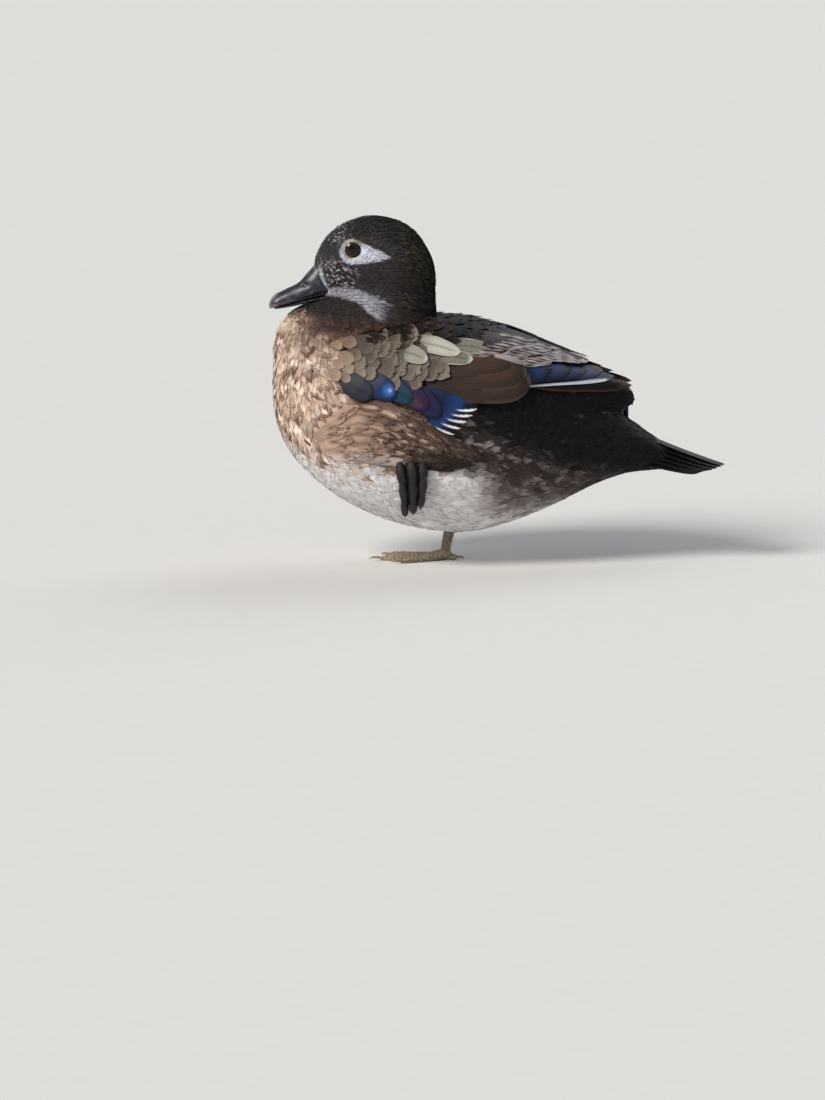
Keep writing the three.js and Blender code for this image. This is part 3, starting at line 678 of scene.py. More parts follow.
def bill_finish():
    """Dark blue-grey horn with paler wear, a painted highlight along its ridge, and a paler nail and edges"""
    box = Paintbox("bill_horn")
    cloud = box.noise(300, detail=6.0, roughness=0.65)
    streak = box.noise(1100, detail=3.0)
    box.painted(box.spread(cloud, 0.55, 1.5))
    box.link(box.spread(cloud, 0.22, 0.5), box.shader.inputs["Roughness"])
    box.set(Specular_IOR_Level=0.5)
    box.bump(box.math("ADD", cloud, box.math("MULTIPLY", streak, 0.35)), 0.3, 0.0004)
    return box.material


def leg_finish(name, dark, pale, scale=900):
    """Scaled skin: small plates with darker joints"""
    box = Paintbox(name)
    plates = box.node("ShaderNodeTexVoronoi", feature="DISTANCE_TO_EDGE")
    plates.inputs["Scale"].default_value = scale
    box.link(box.node("ShaderNodeTexCoord").outputs["Object"], plates.inputs["Vector"])
    edge = box.math("MULTIPLY", plates.outputs["Distance"], 7.0, True)
    cloud = box.noise(160, detail=4.0)
    colour = box.mix(box.math("MULTIPLY", edge, cloud, True), dark, pale)
    box.link(colour, box.shader.inputs["Base Color"])
    box.link(box.spread(cloud, 0.45, 0.7), box.shader.inputs["Roughness"])
    box.set(Specular_IOR_Level=0.45)
    box.bump(box.math("ADD", edge, box.math("MULTIPLY", cloud, 0.5)), 0.45, 0.0004)
    return box.material


def eye_finish():
    """A dark brown iris round the pupil, wet and clear"""
    box = Paintbox("wet_eye")
    parts = box.node("ShaderNodeSeparateXYZ")
    box.link(box.node("ShaderNodeTexCoord").outputs["Object"], parts.inputs[0])
    dx = box.math("ADD", parts.outputs[0], -EYE_X * MM)
    dz = box.math("ADD", parts.outputs[2], -EYE_Z * MM)
    radius = box.math("SQRT", box.math("ADD", box.math("MULTIPLY", dx, dx), box.math("MULTIPLY", dz, dz)))
    share = box.math("MULTIPLY", radius, 1 / (IRIS_RADIUS * MM))
    fibres = box.noise(1500, detail=3.0)
    ring = box.ramp(
        box.math("ADD", share, box.math("MULTIPLY", box.math("SUBTRACT", fibres, 0.5), 0.12)),
        [(0.0, (0.001, 0.001, 0.001)), (0.56, (0.002, 0.001, 0.001)), (0.62, (0.028, 0.010, 0.004)),
         (0.82, (0.02, 0.008, 0.004)), (0.92, (0.002, 0.002, 0.002))],
    )
    box.link(ring, box.shader.inputs["Base Color"])
    box.set(Roughness=0.08, Coat_Weight=0.3, Coat_Roughness=0.02, Specular_IOR_Level=0.22)
    return box.material


def lid_finish():
    """The bare yellowish ring round the eye"""
    box = Paintbox("eye_ring")
    grain = box.noise(1400, detail=3.0)
    box.link(box.mix(grain, colour_of("lid"), colour_of("lid_shade")), box.shader.inputs["Base Color"])
    box.set(Roughness=0.5, Specular_IOR_Level=0.45)
    box.bump(grain, 0.4, 0.0003)
    return box.material


def claw_finish():
    box = Paintbox("claw_horn")
    grain = box.noise(700, detail=4.0)
    box.link(box.mix(grain, colour_of("claw"), colour_of("claw_pale")), box.shader.inputs["Base Color"])
    box.link(box.spread(grain, 0.3, 0.45), box.shader.inputs["Roughness"])
    box.bump(grain, 0.2, 0.0003)
    return box.material


def floor_finish():
    """Pale, even studio paper"""
    box = Paintbox("studio_paper")
    grain = box.noise(60, detail=4.0)
    box.link(box.mix(grain, (0.70, 0.69, 0.67, 1), (0.74, 0.73, 0.71, 1)), box.shader.inputs["Base Color"])
    box.set(Roughness=0.9, Specular_IOR_Level=0.2)
    box.bump(grain, 0.05, 0.001)
    return box.material


# The hen's pieces

def fused(name, parts, voxel, smoothing, rounds):
    """One closed surface over several closed ones"""
    blank = bpy.data.objects.new(name + "_blank", plain_mesh(name + "_blank", *joined(parts)))
    bpy.context.scene.collection.objects.link(blank)
    remesh = blank.modifiers.new("fuse", "REMESH")
    remesh.mode = "VOXEL"
    remesh.voxel_size = voxel * MM
    soften = blank.modifiers.new("soften", "SMOOTH")
    soften.factor = smoothing
    soften.iterations = rounds
    graph = bpy.context.evaluated_depsgraph_get()
    made = bpy.data.meshes.new_from_object(blank.evaluated_get(graph))
    bpy.data.objects.remove(blank)
    made.name = name
    made.polygons.foreach_set("use_smooth", np.ones(len(made.polygons), bool))
    return made


def coordinates(mesh):
    co = np.zeros(len(mesh.vertices) * 3, np.float32)
    mesh.vertices.foreach_get("co", co)
    no = np.zeros(len(mesh.vertices) * 3, np.float32)
    mesh.vertices.foreach_get("normal", no)
    return co.reshape(-1, 3).astype(float) / MM, no.reshape(-1, 3).astype(float)


def set_coordinates(mesh, points):
    mesh.vertices.foreach_set("co", (points * MM).astype(np.float32).ravel())
    mesh.update()


# What one piece leaves for the next: the skin, its eye sockets and the way onto them
workshop = {}


def surface_of(*meshes):
    """A function that moves points onto meshes, with the normals there"""
    corners, faces = [], []
    for mesh in meshes:
        start = len(corners)
        corners += [v.co.copy() for v in mesh.vertices]
        faces += [tuple(i + start for i in p.vertices) for p in mesh.polygons]
    tree = BVHTree.FromPolygons(corners, faces)

    def onto(points):
        spots = np.empty_like(points)
        leans = np.empty_like(points)
        for i, point in enumerate((points * MM).tolist()):
            spot, lean, _, _ = tree.find_nearest(point)
            spots[i] = spot
            leans[i] = lean
        return spots / MM, leans

    return onto


def socket_mesh(side):
    """The skin round one eye, drawn up over the ball as far as the lids"""
    turns, rings, outer = 80, 18, 10.5
    a = 2 * np.pi * np.arange(turns)[None, :] / turns
    r = np.linspace(panel_size("eye_opening") + 0.1, outer, rings)[:, None]
    x = EYE_X + r * np.cos(a)
    z = EYE_Z + r * np.sin(a)
    bulge = np.sqrt(np.maximum(EYEBALL_RADIUS ** 2 - r ** 2, 0))
    over_ball = eye_side + EYE_BULGE - EYEBALL_RADIUS + bulge + 0.35 - 3 * smooth(r, 7.4, 8.6)
    flat = head.side_at(x, z) - panel_size("head_coat") + 0.06
    y = side * (np.maximum(over_ball, flat) - 0.9 * smooth(r, 9.3, outer))
    grid = np.stack([x, y, z], -1).reshape(-1, 3)
    mesh = plain_mesh("socket", grid, ring_faces(turns, rings, side > 0))
    _, normals = coordinates(mesh)
    if normals[:, 1].mean() * side < 0:
        mesh.flip_normals()
    paint(mesh, head_tones(grid))
    return mesh


def make_skin():
    wing_core = CLOAK_ROWS[:-3] + [(120, 119, 106, 91, 22), (129, 113.5, 104, 92, 14), (134, 104, 100, 96, 0)]
    parts = [
        trunk.mesh(60, 48),
        neck.mesh(36, 40),
        head.mesh(48, 40),
        Form(wing_core, roundness=2.25, inset=3.2).mesh(50, 40),
    ]
    mesh = fused("skin", parts, 2.0, 0.5, 5)
    points, normals = coordinates(mesh)
    share = smooth(points[:, 2], 146, 160) * (points[:, 0] < 14)
    depth = panel_size("body_coat") * (1 - share) + panel_size("head_coat") * share
    points = points - normals * depth[:, None]
    # the eye's ball shows through an opening, so the skin sinks away behind it
    near = 1 - smooth(np.hypot(points[:, 0] - EYE_X, points[:, 2] - EYE_Z), 6.0, 9.5)
    points[:, 1] -= np.sign(points[:, 1]) * near * 3.0 * (np.abs(points[:, 1]) > 8)
    set_coordinates(mesh, points)
    paint(mesh, skin_tones(points))
    down = down_finish()
    mesh.materials.append(down)
    place(mesh, "skin", ("torso", "neck", "head"), "plumage")
    sockets = []
    for label, side in (("left", -1), ("right", 1)):
        socket = socket_mesh(side)
        socket.materials.append(down)
        place(socket, f"eye_socket_{label}", (), "plumage")
        sockets.append(socket)
    workshop["skin"] = mesh
    workshop["sockets"] = sockets
    workshop["onto"] = surface_of(mesh, *sockets)


def coat_piece(name, points, barbs, bake, colours, material, slot, replaces=()):
    mesh = sheet_mesh(name, points, barbs, bake, colours)
    mesh.materials.append(material)
    return place(mesh, name, replaces, slot)


def make_body_feathers():
    rng = np.random.default_rng(11)

    def bare(points, normals):
        x, y, z = points.T
        on_trunk = (z < 157) | (x > 12)
        standing = np.hypot(x - LEG_X, y - LEG_Y) > 4.5
        return on_trunk & ~under_wing(points, 9) & (standing | (z > 40))

    roots, normals = loose_points(workshop["skin"], panel_size("body_spacing"), rng, bare)
    lie = lie_of(roots, normals)
    lie = unit(lie + 0.22 * rng.normal(size=lie.shape))
    lie = laid(lie, normals)
    x, z = roots[:, 0], roots[:, 2]
    growth = 1 + 0.3 * smooth(x, -60, 20) + 0.35 * smooth(x, 70, 120)
    growth = growth * (1 - 0.25 * smooth(z, 138, 156) * (x < 14))
    length = panel_size("body_length") * growth * rng.uniform(0.8, 1.25, len(roots))
    width = panel_size("body_width") * (0.75 + 0.3 * growth) * rng.uniform(0.8, 1.2, len(roots))
    low = 1 - smooth(z, 58, 76)
    rise = rng.uniform(0.35, 0.9, len(roots)) * (1 - 0.4 * low)
    points, barbs, s, c = sprout(
        roots, lie, normals, length, width, rise, workshop["onto"], rng, 6, 7,
        rag=0.34, rounding=0.24, taper=0.5,
    )
    # a feather that would reach across to another part of the body is left out
    step = np.linalg.norm(np.diff(points, axis=1), axis=-1).max((1, 2))
    kept = step < 0.46 * length
    roots, lie, length, points, barbs = roots[kept], lie[kept], length[kept], points[kept], barbs[kept]
    ground, mark, pale, dark = body_tones(roots + lie * (0.7 * length)[:, None])
    dice = rng.random(len(roots))
    spot = spot_on(s, c, 0.85, 0.4, 0.9) * (pale * (0.55 + 0.6 * dice))[:, None, None]
    colours = blend(ground[:, None, None, :], mark[:, None, None, :], np.clip(spot, 0, 1))
    blotch = smooth(s + 0.1 * c ** 2, 0.3, 0.75) * (dark * (0.5 + 0.5 * rng.random(len(roots))))[:, None, None]
    colours = blend(colours, tone("breast_fleck"), blotch)
    colours = colours * rng.uniform(0.9, 1.1, (len(roots), 1, 1, 1))
    bake = tuft_patches(roots, 6, 7)
    material = feather_finish("body_feathers", rough=0.8, barb=0.8, depth=0.14, sheen=0.04, strand=0.16)
    shares = 4
    for k in range(shares):
        part = np.arange(len(roots)) % shares == k
        arrays = points[part], barbs[part], bake[part], colours[part]
        coat_piece(f"body_feathers_{k + 1}", *arrays, material, "plumage")


def make_head_feathers():
    rng = np.random.default_rng(23)
    spacing = panel_size("head_spacing")
    bill = Form(BILL_ROWS, roundness=2.0)

    def hood(points, normals):
        x, y, z = points.T
        on_head = (z > 153) & (x < 14)
        off_eye = (np.hypot(x - EYE_X, z - EYE_Z) > 9.2) | (np.abs(y) < 8)
        row = bill.row(bill.share_at(x))
        under_bill = (x < -55) & (np.abs(y) < bill.side_at(x, z)) & (z < row[:, 1] + 0.6) & (z > row[:, 3] - 0.4)
        return on_head & off_eye & ~under_bill

    def round_eye(points, normals):
        reach = np.hypot(points[:, 0] - EYE_X, points[:, 2] - EYE_Z)
        return (reach > 5.5) & (reach < 9.3)

    grown = [loose_points(workshop["skin"], spacing, rng, hood, tries=6)]
    grown += [loose_points(socket, spacing * 0.8, rng, round_eye, tries=6) for socket in workshop["sockets"]]
    roots, normals = (np.vstack(parts) for parts in zip(*grown))
    lie = lie_of(roots, normals)
    # round the eye the feathers part and pass it
    away = np.stack([roots[:, 0] - EYE_X, np.zeros(len(roots)), roots[:, 2] - EYE_Z], 1)
    reach = np.linalg.norm(away, axis=1)
    near = np.exp(-np.maximum(reach - 5.5, 0) / 2.5) * (np.abs(roots[:, 1]) > 8)
    lie = unit(lie + unit(away) * (1.1 * near)[:, None] + 0.1 * rng.normal(size=lie.shape))
    lie = laid(lie, normals)
    x, z = roots[:, 0], roots[:, 2]
    growth = 0.5 + 0.5 * smooth(x, -58, -30) + 0.9 * smooth(x, -18, 4) + 0.3 * (1 - smooth(z, 160, 175))
    growth = growth * (1 - 0.55 * near)
    length = panel_size("head_length") * growth * rng.uniform(0.8, 1.2, len(roots))
    width = (0.9 + 0.5 * growth) * rng.uniform(0.8, 1.2, len(roots))
    rise = (0.3 + 0.5 * growth) * rng.uniform(0.6, 1.3, len(roots))
    rise = rise + 0.9 * smooth(x, -6, 6) * rng.random(len(roots))
    points, barbs, s, _ = sprout(
        roots, lie, normals, length, width, rise, workshop["onto"], rng, 4, 3,
        rag=0.25, rounding=0.3, taper=0.3, sunk=0.15,
    )
    colour = head_tones(roots + lie * (0.5 * length)[:, None])
    ground, mark, pale, _ = body_tones(roots)
    colour = blend(colour, blend(ground, mark, 0.4 * pale), 1 - smooth(z, 151, 158))
    # painted shade: each tuft darker at its root and lighter at its tip
    colours = colour[:, None, None, :] * (1 + 0.25 * (s - 0.6))[..., None]
    colours = colours * rng.uniform(0.8, 1.2, (len(roots), 1, 1, 1))
    colours = np.broadcast_to(colours, points.shape).copy()
    bake = tuft_patches(roots, 4, 3)
    material = feather_finish("head_feathers", rough=0.6, barb=0.8, depth=0.25, sheen=0.2, strand=0.3)
    coat_piece("head_feathers", points, barbs, bake, colours, material, "plumage")


def make_crest():
    """Longer, bushier feathers over the back of the head"""
    rng = np.random.default_rng(31)

    def back_of_head(points, normals):
        x, _, z = points.T
        return (z > 162) & (x > -34) & (x < 14) & (normals[:, 0] * 0.8 + normals[:, 2] * 0.5 > 0.12)

    roots, normals = loose_points(workshop["skin"], 1.6, rng, back_of_head, tries=6)
    lie = lie_of(roots, normals)
    lie = unit(lie + 0.14 * rng.normal(size=lie.shape))
    lie = laid(lie, normals)
    back = smooth(roots[:, 0], -30, 0)
    length = (7 + 6 * back) * rng.uniform(0.8, 1.15, len(roots))
    width = (1.8 + 0.8 * back) * rng.uniform(0.8, 1.2, len(roots))
    rise = 0.9 + 1.7 * back * rng.random(len(roots)) + 0.3 * back
    points, barbs, s, _ = sprout(
        roots, lie, normals, length, width, rise, workshop["onto"], rng, 5, 5,
        rag=0.35, rounding=0.35, taper=0.35, sunk=0.2,
    )
    colour = blend(head_tones(roots), np.broadcast_to(tone("crest"), roots.shape), 0.35 * back)
    gloss = smooth(speckle(roots, 5, 3.0), 0.0, 0.8)
    colour = blend(colour, tone("crest_gloss"), 0.4 * gloss * back)
    colours = colour[:, None, None, :] * rng.uniform(0.75, 1.25, (len(roots), 1, 1, 1))
    # painted shade and highlight: each feather darker at its root and lighter at its tip
    colours = colours * (0.8 + 0.45 * s)[..., None]
    colours = np.broadcast_to(colours, points.shape).copy()
    material = feather_finish("crest_feathers", rough=0.48, barb=0.9, depth=0.3, sheen=0.15, strand=0.35)
    bake = tuft_patches(roots, 5, 5)
    coat_piece("crest_feathers", points, barbs, bake, colours, material, "gloss_feathers", ("crest",))


class Quills:
    """Collects large vanes laid over a form, then makes one mesh of them for each side"""

    back_radius = 52.0
    barb_shift = 37.0

    def __init__(self, form, stations=21, columns=11, across=15):
        self.form, self.stations, self.columns, self.across = form, stations, columns, across
        self.points, self.barbs, self.colours = [], [], []

    def outline(self, length, half, blunt, rag, bend, rng):
        s = 1 - (1 - np.linspace(0, 1, self.stations)[:, None]) ** 1.4
        c = np.linspace(-1, 1, self.columns)[None, :]
        end = np.clip((s - (1 - blunt)) / blunt, 0, 1)
        breadth = (0.42 + 0.58 * smooth(s, 0, 0.35)) * np.sqrt(np.clip(1 - end ** 2.2, 0.0, 1))
        run = length * s * (1 - rag * rng.random(c.shape) * smooth(s, 0.7, 1))
        off = half * np.maximum(breadth, 0.06) * c + bend * np.sin(np.pi * s)
        return s, c, run, off

    def settle(self, spot, lean, s, c, run, off, lift, painter, rng, sunk, full, tilt):
        height = -sunk + (lift + sunk) * np.clip(s / full, 0, 1) ** 0.8 + tilt * c * smooth(s, 0.1, 0.5)
        height = height + 0.15 * np.exp(-((c / 0.12) ** 2)) * (1 - 0.6 * s) - 0.1 * c ** 2
        self.points.append(spot + lean * height[..., None])
        self.barbs.append(np.stack(np.broadcast_arrays(off, run + self.barb_shift * len(self.points)), -1))
        self.colours.append(painter(s, c, rng) * rng.uniform(0.9, 1.1))

    def add(self, root, tip, half, lift, painter, rng, bend=0.0, blunt=0.42, tilt=0.0, sunk=1.6, full=0.55,
            rag=0.03, route=None, surface=None):
        """A vane from root to tip, both seen from the side as x and z, or along a route that gives z from x"""
        chord = np.array(tip, float) - np.array(root, float)
        length = np.hypot(*chord)
        s, c, run, off = self.outline(length, half, blunt, rag, bend, rng)
        if route is None:
            along = np.broadcast_to(chord / length, run.shape + (2,))
            centre = np.array(root, float) + along * run[..., None]
        else:
            x = root[0] + chord[0] * run / length
            centre = np.stack([x, route(x)], -1)
            along = unit(np.stack([np.ones_like(x), route(x + 0.5) - route(x - 0.5)], -1))
        flat = centre + np.stack([-along[..., 1], along[..., 0]], -1) * off[..., None]
        if surface is None:
            side = self.form.side_at(flat[..., 0], flat[..., 1])
            spot, lean = self.form.onto(np.stack([flat[..., 0], side, flat[..., 1]], -1))
        else:
            spot, lean = surface(flat)
        self.settle(spot, lean, s, c, run, off, lift, painter, rng, sunk, full, tilt)

    def add_over(self, x, angle, length, half, lift, painter, rng, drift=0.0, blunt=0.5, rag=0.1):
        """A vane over the back, from its root's x and its angle round the form"""
        s, c, run, off = self.outline(length, half, blunt, rag, 0.0, rng)
        t = self.form.share_at(x + run)
        turn = angle + (off - drift * s) / self.back_radius
        spot, lean = self.form.point(t, turn), self.form.normal(t, turn)
        self.settle(spot, lean, s, c, run, off, lift, painter, rng, 1.0, 1.0, 0.0)

    def finish(self, name, side, material, slot, replaces=()):
        points = np.array(self.points) * [1, side, 1]
        bake = vane_cells(len(points), self.stations, self.columns, 0, self.across)
        colours = np.array([np.broadcast_to(k, points.shape[1:]) for k in self.colours])
        return coat_piece(name, points, np.array(self.barbs), bake, colours, material, slot, replaces)


def rim(s, c, low=0.8, high=0.95):
    """1 at a vane's rounded outer edge, 0 inside it"""
    return smooth(np.maximum(np.abs(c) * smooth(s, 0.3, 0.55), s), low, high)


def toned(colour, *washes):
    """A vane's colours turned towards named ones, each by a share between 0 and 1"""
    shape = colour.shape[:2]
    return washed(colour, *((name, np.broadcast_to(np.clip(share, 0, 1), shape)) for name, share in washes))


def shaded(base, s, c, edge=None, edge_share=0.0, shaft=None):
    """A vane's colour with a named edge and shaft"""
    shape = np.broadcast(s, c).shape
    colour = np.broadcast_to(base, shape + (3,)).copy()
    if edge:
        colour = washed(colour, (edge, np.broadcast_to(smooth(np.abs(c), 0.62, 0.95) * edge_share, shape)))
    if shaft:
        line = np.exp(-((c / 0.1) ** 2)) * 0.5 * (1 - smooth(s, 0.8, 1))
        colour = washed(colour, (shaft, np.broadcast_to(line, shape)))
    return colour


def scale_covert(x):
    """Olive, brown or mauve-grey shoulder coverts with a paler rounded edge and a dark base, partly their own
    darker centre and partly painted shade under the coverts above
    """
    def painter(s, c, rng):
        dice = rng.random()
        front = smooth(-x, 40, 60)
        base = blend(tone("covert"), tone("covert_brown"), 0.9 * dice)
        base = blend(base, tone("covert_edge"), 0.4 * (dice < 0.15))
        base = blend(base, tone("breast"), 0.85 * front) * rng.uniform(0.85, 1.1)
        return toned(
            shaded(base, s, c),
            # the dark base: partly the covert's own darker centre, partly painted shade where the covert above
            # overlaps it
            ("covert_dark_and_shade", rng.uniform(0.2, 0.45) * (1 - smooth(s, 0.4, 0.95))),
            ("covert_edge", rim(s, c, 0.6, 1.0) * rng.uniform(0.1, 0.45) * (1 - 0.6 * front)),
        )
    return painter


def greater_covert(kind):
    # painted highlights: a bright blue glint and a small white glint on the blue coverts, a bronze gloss on the
    # purple ones
    glints = {
        "covert_blue": [("blue_bright", 0.85, 0.1, 0.78, 0.16, 0.6), ("white_tip_and_glint", 0.35, 0.2, 0.8, 0.05, 0.22)],
        "purple": [("bronze", 0.5, -0.3, 0.7, 0.2, 0.5)],
    }

    def painter(s, c, rng):
        colour = shaded(tone(kind), s, c, "vane_dark_and_shade", 0.45, "vane_dark_and_shade")
        # painted shade: the vane darkened at its root, where the covert above overlaps it
        colour = toned(colour, ("vane_dark_and_shade", 0.6 * (1 - smooth(s, 0.3, 0.6))))
        for name, share, aside, middle, long, wide in glints.get(kind, ()):
            colour = toned(colour, (name, share * spot_on(s, c - aside, middle, long, wide)))
        return toned(colour, ("vane_dark_and_shade", 0.6 * rim(s, c, 0.86, 0.97)))
    return painter


def secondary(s, c, rng):
    upper = -0.84 + 0.72 * np.clip((s - 0.64) / 0.36, 0, 1)
    return toned(
        shaded(tone("speculum"), s, c, "vane_dark_and_shade", 0.5, "vane_dark_and_shade"),
        ("blue_bright", 0.22 * smooth(s, 0.4, 0.66) * (1 - smooth(s, 0.7, 0.78))),
        ("vane_dark_and_shade", 0.7 * smooth(s, 0.72, 0.86)),
        ("white_tip_and_glint", smooth(upper - c, 0.0, 0.1) * smooth(c, -0.9, -0.84) * smooth(s, 0.64, 0.68)),
    )


def tertial(s, c, rng):
    return toned(
        shaded(tone("tertial"), s, c, shaft="vane_dark_and_shade"),
        ("bronze", 0.45 * spot_on(s, c - 0.2, 0.66, 0.3, 0.8)),
        # painted shade at the root, where the vane above overlaps it, with faint barring
        ("vane_dark_and_shade", 0.45 * (1 - smooth(s, 0.1, 0.5)) + 0.12 * np.sin(9 * c + 14 * s)),
        ("tertial_edge", 0.45 * rim(s, c, 0.82, 0.97)),
        ("streak_pale_and_glint", 0.1 * rim(s, c, 0.955, 0.99)),
    )


def edge_stroke(s, c, rng):
    share = 0.5 * rim(s, c, 0.6, 0.95) + 0.3 * (1 - smooth(s, 0, 0.4))
    return toned(shaded(tone("streak_pale_and_glint"), s, c), ("tertial", share))


def pale_scapular(strength):
    def painter(s, c, rng):
        base = blend(tone("covert"), tone("scapular_pale"), strength)
        return toned(
            shaded(base, s, c, "covert_dark_and_shade", 0.35, "covert_dark_and_shade"),
            # painted shade at the root, under the feather above
            ("covert_dark_and_shade", 0.5 * (1 - smooth(s, 0.2, 0.6))),
            ("scapular_pale", 0.8 * rim(s, c, 0.86, 0.97)),
        )
    return painter


def barred_scapular(s, c, rng):
    wave = 0.12 * np.sin(26 * s + rng.uniform(0, 6))
    # the pale wavy edges are partly the feathers' own pale fringes and partly painted glints along them
    pale = smooth(-c + wave, 0.66, 0.92) * smooth(s, 0.1, 0.4) * rng.uniform(0.6, 1.0)
    return toned(
        shaded(tone("streak_dark"), s, c),
        ("streak_pale_and_glint", np.maximum(pale, 0.5 * smooth(s, 0.96, 0.99))),
        ("bronze", 0.3 * smooth(c, -0.3, 0.5)),
    )


def mantle_feather(x):
    def painter(s, c, rng):
        behind = smooth(x, -14, 16)
        base = blend(tone("mantle"), tone("back_gloss"), 0.75 * behind) * rng.uniform(0.7, 1.25)
        return toned(
            shaded(base, s, c, shaft="vane_dark_and_shade"),
            # painted shade at the root, under the feather above
            ("vane_dark_and_shade", 0.6 * (1 - smooth(s, 0.3, 0.7))),
            ("mantle_edge", rim(s, c, 0.7, 1.0) * (0.5 - 0.42 * behind) * rng.uniform(0.2, 1.2)),
        )
    return painter


def primary(order):
    """Steel-blue flight feathers, the lowest with a white outer edge"""
    def painter(s, c, rng):
        white = 0.95 * smooth(-c, 0.3, 0.5) * smooth(s, 0.25, 0.36) * (1 - smooth(s, 0.93, 0.97)) * (order == 0)
        return toned(
            shaded(tone("primary"), s, c, "vane_dark_and_shade", 0.5, "vane_dark_and_shade"),
            ("primary_bright", 0.6 * spot_on(s, c - 0.1, 0.82, 0.15, 0.7)),
            ("vane_dark_and_shade", 0.85 * rim(s, c, 0.88, 0.96)),
            ("wing_tip", 0.55 * smooth(s, 0.95, 0.99) * (order < 2)),
            ("silver_edge", white),
        )
    return painter


def wing_tip_vane(s, c, rng):
    colour = shaded(tone("vane_dark_and_shade"), s, c, "wing_tip", 0.5)
    return toned(colour, ("wing_tip", 0.7 * smooth(s, 0.85, 0.95) * spot_on(s, c, 0.92, 0.1, 0.8)))


def flank_plume(x, level):
    """Brown side feathers with long buff streaks, darker towards the rear and the lower edge"""
    def painter(s, c, rng):
        rear = smooth(x, -26, 0)
        front = 1 - smooth(x, -62, -44)
        low = smooth(x, -44, -16) * (1 - smooth(level, 0.3, 0.65))
        base = blend(tone("flank"), tone("flank_dark"), min(0.95, 0.6 * rear + 0.8 * low))
        base = blend(base, tone("breast"), 0.85 * front)
        base = blend(base, tone("belly_shade"), 0.5 * (level < 0.2) * (x < -40))
        colour = shaded(base * rng.uniform(0.78, 1.15), s, c, "flank_dark", 0.25 * (1 - front))
        aside, middle = rng.uniform(-0.3, 0.3), rng.uniform(0.55, 0.9)
        streak = spot_on(s, c - aside, middle, rng.uniform(0.25, 0.45), rng.uniform(0.3, 0.8))
        return toned(
            colour,
            ("flank_spot", streak * rng.uniform(0.2, 0.9) * (1 - 0.85 * rear) * (1 - 0.9 * low)),
            ("breast_fleck", 0.7 * front * spot_on(s, c - rng.uniform(-0.4, 0.4), 0.8, 0.22, 0.6)),
        )
    return painter


